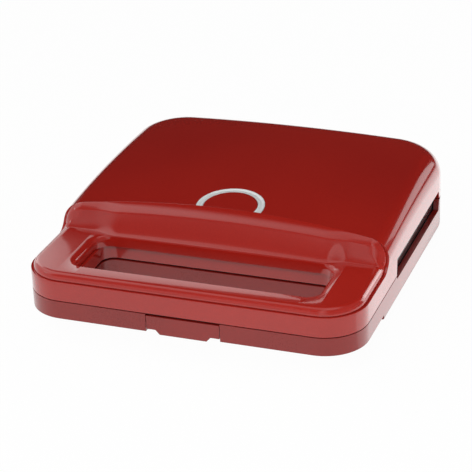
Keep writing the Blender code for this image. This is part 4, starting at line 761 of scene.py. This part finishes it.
def make_base_shell():
    """The base: walls, a belly that holds the heating parts, and a handle bar with the hand slot."""
    rings = []
    for angle in quarter_turn(SMALL_ROUND_STEPS):
        height = SIDE_BOTTOM + BOTTOM_ROUND * (1 - cos(angle))
        rings.append(at_height(body_plan(BOTTOM_ROUND * (1 - sin(angle))), height))
    rings.append(at_height(body_plan(0.0), REAR_BASE_TOP))
    shell = loft("base_tub", rings, RED_SATIN)
    edge = parting_line(BASE_EDGE, SIDE_BASE_TOP, REAR_BASE_TOP)[:-1]
    over = side_prism("base_edge_cutter", edge + [(edge[-1][0], LID_TOP), (AHEAD, LID_TOP)])
    step, below = FRONT_Y + HANDLE_LENGTH, SIDE_BOTTOM - OVERRUN
    lift = [(AHEAD, below), (AHEAD, HANDLE_BOTTOM), (step - GAP_RAMP, HANDLE_BOTTOM), (step, below)]
    cut(shell, over, side_prism("handle_underside_cutter", lift))
    inside = BELLY_INSET + SHELL_WALL
    join(shell, loft("belly", [at_height(belly_plan(BELLY_INSET), BELLY_BOTTOM),
                               at_height(belly_plan(BELLY_INSET - BELLY_DRAFT), HANDLE_BOTTOM)]))
    pit = loft("belly_hollow", [at_height(belly_plan(inside), FLOOR_TOP),
                                at_height(belly_plan(inside - BELLY_DRAFT), SHELF_TOP)])
    behind_slot = SLOT_BACK + SLOT_SET_BACK + SHELL_WALL + SEAT_GAP
    low = prism("base_hollow", room_plan(SHELF_WIDTH, behind_slot), SIDE_BOTTOM + SHELL_WALL,
                SHELF_TOP + OVERRUN / 2)
    high = prism("base_rim_hollow", room_plan(RIM_WIDTH, behind_slot), SHELF_TOP, REAR_BASE_TOP + OVERRUN)
    tube = prism("base_tube_core", tube_plan(SHELL_WALL), 0.0, LID_TOP)
    bar = prism("base_bar_hollow", handle_plan(RIM_WIDTH, behind_slot + SHELL_WALL),
                HANDLE_BOTTOM + SHELL_WALL, LID_TOP)
    seat = prism("base_plate_seat", handle_plan(SHELL_WALL, PLATE_FRONT), BASE_EDGE - RIM_DEPTH, LID_TOP)
    mouth = prism("base_slot_cutter", tube_plan(0.0), 0.0, LID_TOP)
    cut(shell, pit, low, high, cut(bar, tube), cut(seat, tube), mouth)
    screws = corner_places(BASE_SCREW_INSET, PLATE_FRONT + BASE_SCREW_FRONT, BASE_SCREW_BACK)
    for k, place in enumerate(screws):
        middle = (*place, (BELLY_BOTTOM + FRAME_BOSS_FOOT) / 2)
        pad_height = FRAME_BOSS_FOOT - BELLY_BOTTOM
        join(shell, rod(f"screw_pad_{k}", middle, PAD_RADIUS, pad_height, sides=SMALL_SIDES))
    for near, _, far in hinge_spans():
        for left, right in (near, far):
            join(shell, *hinge_arm(f"base_knuckle_{left:.3f}", left, right, False))
    pocket, *ears = latch_seat()
    join(cut(shell, pocket), *ears)
    bores = (("hole", SCREW_RADIUS, FRAME_BOSS_FOOT), ("sink", SCREW_HEAD, SCREW_HEAD_HEIGHT + SEAT_GAP))
    for k, place in enumerate(screws):
        for name, radius, depth in bores:
            middle = (*place, BELLY_BOTTOM)
            cut(shell, bore(f"base_screw_{name}_{k}", middle, radius, 2 * depth, sides=SMALL_SIDES))
    for k, place in enumerate(corner_places(FOOT_INSET, PLATE_FRONT + FOOT_SET_BACK, FOOT_BACK)):
        cut(shell, bore(f"foot_recess_{k}", (*place, BELLY_BOTTOM), FOOT_RADIUS, 2 * (FOOT_SEAT + SEAT_GAP)))
    gland_place = (0.0, REAR_Y, SIDE_BOTTOM + GLAND_RISE)
    gland = bore("gland_hole", gland_place, GLAND_RADIUS, 2 * (SHELF_WIDTH + OVERRUN), "Y")
    pin_reach = LATCH_WIDTH + 4 * HOOK_THICKNESS + OVERRUN
    return cut(shell, gland, hinge_bore("base_hinge_bore"), latch_bore("latch_pin_bore", pin_reach))


def latch_bore(name, length):
    return bore(name, (0.0, LATCH_Y, LATCH_PIVOT_HEIGHT), LATCH_PIN_RADIUS, length, "X", SMALL_SIDES)


def latch_seat():
    """The latch's room in the handle bar, open in front, and the bearing blocks beside it."""
    inner = LATCH_WIDTH / 2 + RUN_GAP
    outer = inner + HOOK_THICKNESS * EAR_WIDTH_SHARE
    back = LATCH_Y + LATCH_PIVOT_BACK * LATCH_ROOM_SHARE
    reach = LATCH_PIVOT_BACK * EAR_REACH_SHARE
    made = [box("latch_pocket", (-inner, AHEAD, 0.0), (inner, back, LID_TOP))]
    for side in (-1, 1):
        left, right = sorted((side * inner, side * outer))
        low = (left, FRONT_Y + SHELL_WALL / 2, HANDLE_BOTTOM + SHELL_WALL / 2)
        made.append(box(f"latch_ear_{side}", low, (right, LATCH_Y + reach, LATCH_PIVOT_HEIGHT + reach)))
    return made


def make_latch():
    """The latch: a flush front plate with a finger tab, two bearing cheeks and a hook that holds the lid."""
    half, tab = LATCH_WIDTH / 2, LATCH_TAB_WIDTH / 2
    top = BASE_EDGE - LATCH_TOP_GAP
    notch = LATCH_BOTTOM + LATCH_NOTCH
    face = [(-half, notch), (-tab - LATCH_TAB_SLOPE, notch), (-tab, LATCH_BOTTOM), (tab, LATCH_BOTTOM),
            (tab + LATCH_TAB_SLOPE, notch), (half, notch), (half, top), (-half, top)]
    rings = [[(x, y, z) for x, z in face] for y in (FRONT_Y, FRONT_Y + LATCH_THICKNESS)]
    latch = loft("latch_moulding", rings, RED_SATIN)
    root = FRONT_Y + LATCH_THICKNESS / 2
    reach = LATCH_PIN_RADIUS + HOOK_THICKNESS / 2
    cheek = [(root, LATCH_PIVOT_HEIGHT - reach)]
    for angle in [radians(a) for a in range(-90, 91, CHEEK_TURN)]:
        cheek.append((LATCH_Y + reach * cos(angle), LATCH_PIVOT_HEIGHT + reach * sin(angle)))
    cheek.append((root, LATCH_PIVOT_HEIGHT + reach))
    for side in (-1, 1):
        near, far = sorted((side * tab, side * (tab + HOOK_THICKNESS)))
        join(latch, side_prism(f"latch_cheek_{side}", cheek, near, far))
    front, back = LATCH_Y - HOOK_THICKNESS / 2, LATCH_Y + HOOK_THICKNESS / 2
    catch = LID_EDGE + HANDLE_PLATE_THICKNESS + SEAT_GAP
    tip = catch + HOOK_HEAD
    nose = front - HOOK_REACH
    arm_low = LATCH_PIVOT_HEIGHT + LATCH_PIN_RADIUS + 2 * SEAT_GAP
    arm_high = arm_low + HOOK_THICKNESS
    hook = [(root, arm_low), (back, arm_low), (back, tip), (front, tip),
            (nose, catch + HOOK_HEAD * HOOK_NOSE_SHARE), (nose, catch), (front, catch), (front, arm_high),
            (root, arm_high)]
    join(latch, side_prism("latch_hook", hook, -HOOK_WIDTH / 2, HOOK_WIDTH / 2))
    return cut(latch, latch_bore("latch_bore", LATCH_WIDTH))


def plate_plan(inset):
    """A hot plate's outline seen from above, moved inwards."""
    front_radius = max(PLATE_FRONT_CORNER - inset, PLATE_EDGE_ROUND)
    return room_plan(PLATE_INSET + inset, PLATE_FRONT + inset, front_radius)


def make_hot_plate(name, meeting, direction):
    """A cast plate: a skirt, a rounded rim and a ribbed cooking floor sunk in a drafted well."""
    def level(depth):
        return meeting - direction * depth

    well = PLATE_RIM + WELL_DRAFT
    ease = PLATE_EDGE_ROUND / 2
    section = [(0.0, WELL_DEPTH + PLATE_WALL + PLATE_SKIRT)]
    section += [(PLATE_EDGE_ROUND * (1 - cos(a)), PLATE_EDGE_ROUND * (1 - sin(a)))
                for a in quarter_turn(SMALL_ROUND_STEPS)]
    section += [(PLATE_RIM - ease, 0.0), (PLATE_RIM, ease), (well - ease, WELL_DEPTH - ease),
                (well + ease, WELL_DEPTH)]
    rings = [at_height(plate_plan(inset), level(depth)) for inset, depth in section]
    plate = loft(name, rings, NON_STICK, ends=(-1,))
    cooking_floor = plate.data.polygons[-1]
    if cooking_floor.normal.z * direction < 0:
        plate.data.flip_normals()
    thick = plate.modifiers.new("casting wall", "SOLIDIFY")
    thick.thickness = PLATE_WALL
    thick.offset = -1.0
    thick.use_even_offset = True
    return join(plate, *cooking_ribs(name, level))


def cooking_ribs(name, level):
    """The ribs across the cooking floor: tapered, with sloping ends, shorter towards the round corners."""
    well = PLATE_INSET + PLATE_RIM + WELL_DRAFT + RIB_MARGIN
    front, back = FRONT_Y + PLATE_FRONT + well - PLATE_INSET, REAR_Y - well
    half, corner = HALF_WIDTH - well, REAR_CORNER - well
    ribs = []
    each_side = int((half - RIB_FOOT / 2) / RIB_PITCH)
    for k in range(-each_side, each_side + 1):
        x = k * RIB_PITCH
        over = max(abs(x) + RIB_FOOT / 2 - (half - corner), 0.0)
        end = back - corner + sqrt(max(corner ** 2 - min(over, corner) ** 2, 0.0))
        rings = []
        for width, height, draw in ((RIB_FOOT, -RIB_ROOT, 0.0), (RIB_CREST, RIB_HEIGHT, RIB_HEIGHT)):
            left, right, start, stop = x - width / 2, x + width / 2, front + draw, end - draw
            plan = [(left, start), (right, start), (right, stop), (left, stop)]
            rings.append(at_height(plan, level(WELL_DEPTH - height)))
        ribs.append(loft(f"{name}_rib_{k + each_side}", rings))
    return ribs


def new_group(name, inputs):
    """A shader node group that gives a tone and a relief, with its given values and its end node."""
    group = bpy.data.node_groups.new(name, "ShaderNodeTree")
    for label, value in inputs.items():
        socket = group.interface.new_socket(name=label, in_out="INPUT", socket_type="NodeSocketFloat")
        socket.default_value = value
    for label in ("Tone", "Relief"):
        group.interface.new_socket(name=label, in_out="OUTPUT", socket_type="NodeSocketFloat")
    return group, group.nodes.new("NodeGroupInput").outputs, group.nodes.new("NodeGroupOutput")


def feed(tree, node, inputs):
    """Wires a node's inputs from sockets, or sets them to plain values."""
    for label, value in inputs.items():
        if isinstance(value, bpy.types.NodeSocket):
            tree.links.new(value, node.inputs[label])
        else:
            node.inputs[label].default_value = value
    return node


def add_node(tree, kind, *values, **inputs):
    """A new node with its first inputs in their order, and others by their names."""
    return feed(tree, tree.nodes.new(kind), {**dict(enumerate(values)), **inputs})


def calculate(tree, operation, first, second):
    """One sum on sockets or plain numbers."""
    made = add_node(tree, "ShaderNodeMath", first, second)
    made.operation = operation
    return made.outputs["Value"]


def noise(group, where, scale, detail):
    return add_node(group, "ShaderNodeTexNoise", Vector=where, Scale=scale, Detail=detail).outputs["Fac"]


def mixed(group, first, second, share):
    """A share of the first value with the rest of the second."""
    part = calculate(group, "MULTIPLY", first, share)
    rest = calculate(group, "MULTIPLY", second, calculate(group, "SUBTRACT", 1.0, share))
    return calculate(group, "ADD", part, rest)


def make_moulded_surface():
    """Moulded plastic: slow clouds of tone, fine pearl flakes, and the mould's grain over a slow ripple."""
    sizes = {"Cloud Scale": 9.0, "Flake Scale": 2600.0, "Flake Share": 0.3, "Grain Scale": 1500.0,
             "Grain Share": 0.5}
    group, given, result = new_group("moulded_surface", sizes)
    place = add_node(group, "ShaderNodeTexCoord").outputs["Object"]
    cloud = noise(group, place, given["Cloud Scale"], 2.0)
    flakes = add_node(group, "ShaderNodeTexVoronoi", Vector=place, Scale=given["Flake Scale"])
    flake = add_node(group, "ShaderNodeSeparateColor", Color=flakes.outputs["Color"]).outputs["Red"]
    grain = noise(group, place, given["Grain Scale"], 3.0)
    feed(group, result, {"Tone": mixed(group, flake, cloud, given["Flake Share"]),
                         "Relief": mixed(group, grain, cloud, given["Grain Share"])})
    return group


def make_drawn_metal():
    """Drawn or rolled metal: long fine lines along X over slow clouds of tone."""
    sizes = {"Line Scale": 900.0, "Cloud Scale": 30.0, "Line Share": 0.6}
    group, given, result = new_group("drawn_metal", sizes)
    place = add_node(group, "ShaderNodeTexCoord").outputs["Object"]
    along = add_node(group, "ShaderNodeMapping", Vector=place, Scale=(LINE_STRETCH, 1.0, 1.0))
    lines = noise(group, along.outputs["Vector"], given["Line Scale"], 2.0)
    cloud = noise(group, place, given["Cloud Scale"], 3.0)
    feed(group, result, {"Tone": mixed(group, lines, cloud, given["Line Share"]), "Relief": lines})
    return group


def new_material(name, fixed):
    """A material's node tree and its shader, with some of the shader's values set."""
    made = bpy.data.materials.new(name)
    made.use_nodes = True
    return made, made.node_tree, feed(made.node_tree, made.node_tree.nodes["Principled BSDF"], fixed)


def make_finish(name, surface, values, colours, roughness, relief, fixed, soft_edge=0.0):
    """A material whose colour, roughness and bump follow one surface group.

    The values go to the group, and the fixed ones stay on the shader.
    """
    made, tree, shader = new_material(name, fixed)
    effect = add_node(tree, "ShaderNodeGroup")
    effect.node_tree = surface
    tone = feed(tree, effect, values).outputs["Tone"]
    blend = add_node(tree, "ShaderNodeValToRGB", Fac=tone)
    for element, place, colour in zip(blend.color_ramp.elements, TONE_RANGE, colours):
        element.position = place
        element.color = (*colour, 1.0)
    low, high = roughness
    spread = add_node(tree, "ShaderNodeMapRange", tone, **{"To Min": low, "To Max": high})
    bump = add_node(tree, "ShaderNodeBump", Strength=relief, Distance=GRAIN_DEPTH,
                    Height=effect.outputs["Relief"])
    if soft_edge:
        edge = add_node(tree, "ShaderNodeBevel", Radius=soft_edge)
        edge.samples = EDGE_SAMPLES
        feed(tree, bump, {"Normal": edge.outputs["Normal"]})
    feed(tree, shader, {"Base Color": blend.outputs["Color"], "Roughness": spread.outputs["Result"],
                        "Normal": bump.outputs["Normal"]})
    return made


# The tones where a finish has its two colours, its grain's depth, and how far metal's lines are drawn out.
TONE_RANGE = (0.3, 0.7)
GRAIN_DEPTH = 0.00003
LINE_STRETCH = 0.03
MOULDED = make_moulded_surface()
DRAWN = make_drawn_metal()
RED_GLOSS = make_finish(
    "red_gloss", MOULDED, {"Cloud Scale": 6.0, "Flake Share": 0.25},
    ((0.32, 0.011, 0.007), (0.40, 0.016, 0.009)), (0.14, 0.20), 0.03,
    {"Specular IOR Level": 0.3, "Coat Weight": 0.86, "Coat Roughness": 0.05}, EDGE_SOFTNESS)
RED_SATIN = make_finish(
    "red_satin", MOULDED, {"Cloud Scale": 14.0, "Flake Share": 0.3},
    ((0.215, 0.010, 0.007), (0.275, 0.014, 0.010)), (0.25, 0.32), 0.06,
    {"Specular IOR Level": 0.3, "Coat Weight": 0.65, "Coat Roughness": 0.12}, EDGE_SOFTNESS)
SILVER = make_finish(
    "ring_silver", DRAWN, {"Line Scale": 500.0},
    ((0.78, 0.81, 0.81), (0.90, 0.92, 0.92)), (0.25, 0.4), 0.1, {"Metallic": 0.2})
NON_STICK = make_finish(
    "hot_plate_coating", MOULDED,
    {"Cloud Scale": 40.0, "Flake Scale": 900.0, "Flake Share": 0.5, "Grain Scale": 2200.0},
    ((0.011, 0.011, 0.012), (0.030, 0.030, 0.032)), (0.16, 0.26), 0.4,
    {"Metallic": 0.1, "Coat Weight": 1.0, "Coat Roughness": 0.12, "Coat IOR": 1.9}, EDGE_SOFTNESS)
BLACK = make_finish(
    "black_moulding", MOULDED, {"Flake Share": 0.1, "Grain Scale": 900.0},
    ((0.010, 0.010, 0.010), (0.022, 0.022, 0.022)), (0.45, 0.6), 0.5, {})
RUBBER = make_finish(
    "foot_rubber", MOULDED, {"Flake Share": 0.2, "Grain Scale": 700.0},
    ((0.012, 0.012, 0.012), (0.030, 0.030, 0.028)), (0.7, 0.9), 0.8, {})
STEEL = make_finish(
    "plated_steel", DRAWN, {}, ((0.40, 0.41, 0.42), (0.60, 0.61, 0.62)), (0.25, 0.4), 0.3, {"Metallic": 1.0})
SHEET = make_finish(
    "shield_aluminium", DRAWN, {"Line Scale": 1400.0, "Cloud Scale": 12.0},
    ((0.62, 0.63, 0.64), (0.80, 0.81, 0.82)), (0.3, 0.5), 0.3, {"Metallic": 1.0})
CERAMIC = make_finish(
    "ceramic_body", MOULDED, {"Cloud Scale": 80.0, "Grain Scale": 1200.0},
    ((0.62, 0.58, 0.50), (0.76, 0.72, 0.64)), (0.6, 0.8), 0.6, {})


def settle(piece):
    """Applies a piece's cuts, cleans the result and shades it smooth between its sharp edges."""
    graph = bpy.context.evaluated_depsgraph_get()
    made = bpy.data.meshes.new_from_object(piece.evaluated_get(graph))
    piece.modifiers.clear()
    mesh = bmesh.new()
    mesh.from_mesh(made)
    bmesh.ops.remove_doubles(mesh, verts=mesh.verts, dist=WELD)
    mesh.to_mesh(made)
    mesh.free()
    piece.data = made
    made.shade_smooth()
    made.set_sharp_from_angle(angle=radians(SHARP_ANGLE))


def dress(piece, node, body):
    """Puts a fine piece in the place of its plain node."""
    settle(piece)
    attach(piece, body)
    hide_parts(node)


def make_floor():
    """A wide floor, pale under the lamps and almost white to the eye, so that its shadows stay faint."""
    mesh = bmesh.new()
    bmesh.ops.create_grid(mesh, x_segments=1, y_segments=1, size=FLOOR_SIZE)
    finish, tree, shader = new_material("studio_floor_white", {
        "Base Color": (FLOOR_TONE, FLOOR_TONE, FLOOR_TONE, 1.0), "Roughness": FLOOR_ROUGHNESS,
        "Specular IOR Level": 0.0})
    path = add_node(tree, "ShaderNodeLightPath").outputs
    looked_at = calculate(tree, "MAXIMUM", path["Is Camera Ray"], path["Is Glossy Ray"])
    looked_at = calculate(tree, "MAXIMUM", looked_at, path["Is Transmission Ray"])
    share = calculate(tree, "MULTIPLY", looked_at, FLOOR_GLOW_SHARE)
    glow = add_node(tree, "ShaderNodeEmission").outputs["Emission"]
    blend = add_node(tree, "ShaderNodeMixShader", share, shader.outputs["BSDF"], glow)
    feed(tree, tree.nodes["Material Output"], {"Surface": blend.outputs["Shader"]})
    mesh_object("studio_floor", mesh, finish)


def ring_of_tones(tree, turn, stops):
    """The studio's tones round one height, between angles counted from the back towards the right."""
    made = add_node(tree, "ShaderNodeValToRGB", Fac=turn)
    ramp = made.color_ramp
    ramp.interpolation = "EASE"
    ramp.elements.remove(ramp.elements[0])
    for angle, tone in stops:
        ramp.elements.new(angle / 360 + 0.5).color = (tone, tone, tone, 1.0)
    ramp.elements.remove(ramp.elements[-1])
    return made.outputs["Color"]


def tone_between(tree, height, limits, low, high):
    """One tone under a height, another over it, and a soft change between the two limits."""
    share = add_node(tree, "ShaderNodeMapRange", height, *limits)
    share.interpolation_type = "SMOOTHSTEP"
    blend = add_node(tree, "ShaderNodeMix")
    blend.data_type = "RGBA"
    return feed(tree, blend, {"Factor": share.outputs["Result"], "A": low, "B": high}).outputs["Result"]


def make_world():
    """A studio brightest at the left, dark behind and grey overhead. The camera sees plain white instead."""
    world = bpy.data.worlds.new("studio")
    bpy.context.scene.world = world
    world.use_nodes = True
    tree = world.node_tree
    tree.nodes.clear()
    place = add_node(tree, "ShaderNodeTexCoord").outputs["Generated"]
    place = add_node(tree, "ShaderNodeSeparateXYZ", Vector=place).outputs
    angle = calculate(tree, "ARCTAN2", place["X"], place["Y"])
    turn = calculate(tree, "ADD", calculate(tree, "DIVIDE", angle, 2 * pi), 0.5)
    low, high, top = [ring_of_tones(tree, turn, stops) for stops in (LOW_TONES, HIGH_TONES, CEILING_TONES)]
    walls = tone_between(tree, place["Z"], HIGH_STARTS, low, high)
    room = tone_between(tree, place["Z"], CEILING_STARTS, walls, top)
    studio = add_node(tree, "ShaderNodeBackground", Color=room).outputs["Background"]
    white = add_node(tree, "ShaderNodeBackground", Color=(1.0, 1.0, 1.0, 1.0)).outputs["Background"]
    seen = add_node(tree, "ShaderNodeLightPath").outputs["Is Camera Ray"]
    blend = add_node(tree, "ShaderNodeMixShader", seen, studio, white)
    add_node(tree, "ShaderNodeOutputWorld", Surface=blend.outputs["Shader"])


def make_lamp(name, place, size, power, aim=AIM, mirrored=True, only_on=None):
    """A soft oblong lamp aimed at the machine. It can leave no mirror image, or light one piece alone."""
    data = bpy.data.lights.new(name, "AREA")
    data.shape = "RECTANGLE"
    data.size, data.size_y = size
    data.energy = power
    lamp = add_object(name, data)
    lamp.visible_camera = False
    lamp.visible_glossy = mirrored
    lamp.location = place
    lamp.rotation_euler = (lamp.location - aim).to_track_quat("Z", "Y").to_euler()
    if only_on:
        lit = bpy.data.collections.new(name + "_pieces")
        lit.objects.link(only_on)
        lamp.light_linking.receiver_collection = lit


def make_camera():
    """The photograph's camera."""
    turn, rise = radians(CAMERA_TURN), radians(CAMERA_RISE)
    back = Vector((sin(turn) * cos(rise), -cos(turn) * cos(rise), sin(rise)))
    data = bpy.data.cameras.new("photo_camera")
    data.sensor_width = SENSOR_WIDTH
    data.lens = FOCAL_PIXELS / PHOTO_WIDTH * SENSOR_WIDTH
    data.shift_x, data.shift_y = CAMERA_SHIFT
    data.dof.use_dof = False
    camera = add_object("photo_camera", data)
    camera.location = AIM + back * CAMERA_DISTANCE
    camera.rotation_mode = "QUATERNION"
    roll = Quaternion((0.0, 0.0, 1.0), radians(CAMERA_ROLL))
    camera.rotation_quaternion = (-back).to_track_quat("-Z", "Y") @ roll
    bpy.context.scene.camera = camera


dress(make_lid_hood(), "lid_cover", "lid")
CAP = make_handle_cap()
dress(CAP, "handle_cap", "lid")
dress(make_trim_ring(), "trim_ring", "lid")
dress(make_base_shell(), "base_shell", "base")
dress(make_latch(), "latch", "latch")
GRILLS = (
    ("lower_grill_plate", LOWER_MEETING, 1, "lower_hot_plate", "base"),
    ("upper_grill_plate", UPPER_MEETING, -1, "upper_hot_plate", "lid"),
)
for name, meeting, side, node_name, body in GRILLS:
    dress(make_hot_plate(name, meeting, side), node_name, body)
for tool in TOOLS:
    bpy.data.objects.remove(tool)

FINISHES = {
    "red_satin_plastic": RED_SATIN, "black_plastic": BLACK, "plated_steel": STEEL, "aluminium_sheet": SHEET,
    "rubber": RUBBER, "ceramic": CERAMIC,
}
for subpart in frame["record"]["subparts"]:
    node = frame["nodes"][subpart["node"]]
    finish = FINISHES.get(subpart["material_slot"])
    if finish is not None:
        for slot in node.material_slots:
            slot.material = finish

make_world()
make_floor()
make_lamp("key_lamp", place=(-1.3, -0.45, 0.8), size=(0.12, 0.12), power=0.4)
make_lamp("front_fill", place=(0.0, -0.9, 0.78), size=(0.8, 0.55), power=6.1, mirrored=False)
make_lamp("side_fill", place=(1.5, 0.3, 0.35), size=(1.0, 0.5), power=9.5, mirrored=False)
make_lamp("floor_card", place=(0.43, 0.35, 0.001), size=(0.62, 0.9), power=0.75, aim=OVER_FLOOR_CARD)
make_lamp("right_card", place=(0.70, 1.15, 0.34), size=(0.38, 0.36), power=0.58)
make_lamp("cap_card", place=(-0.735, 0.79, 0.50), size=(0.92, 0.66), power=2.35, only_on=CAP)
make_lamp("edge_card", place=(0.7, 1.05, 0.34), size=(0.8, 0.6), power=3.6, only_on=CAP)
make_camera()
bpy.context.scene.view_settings.view_transform = "Standard"
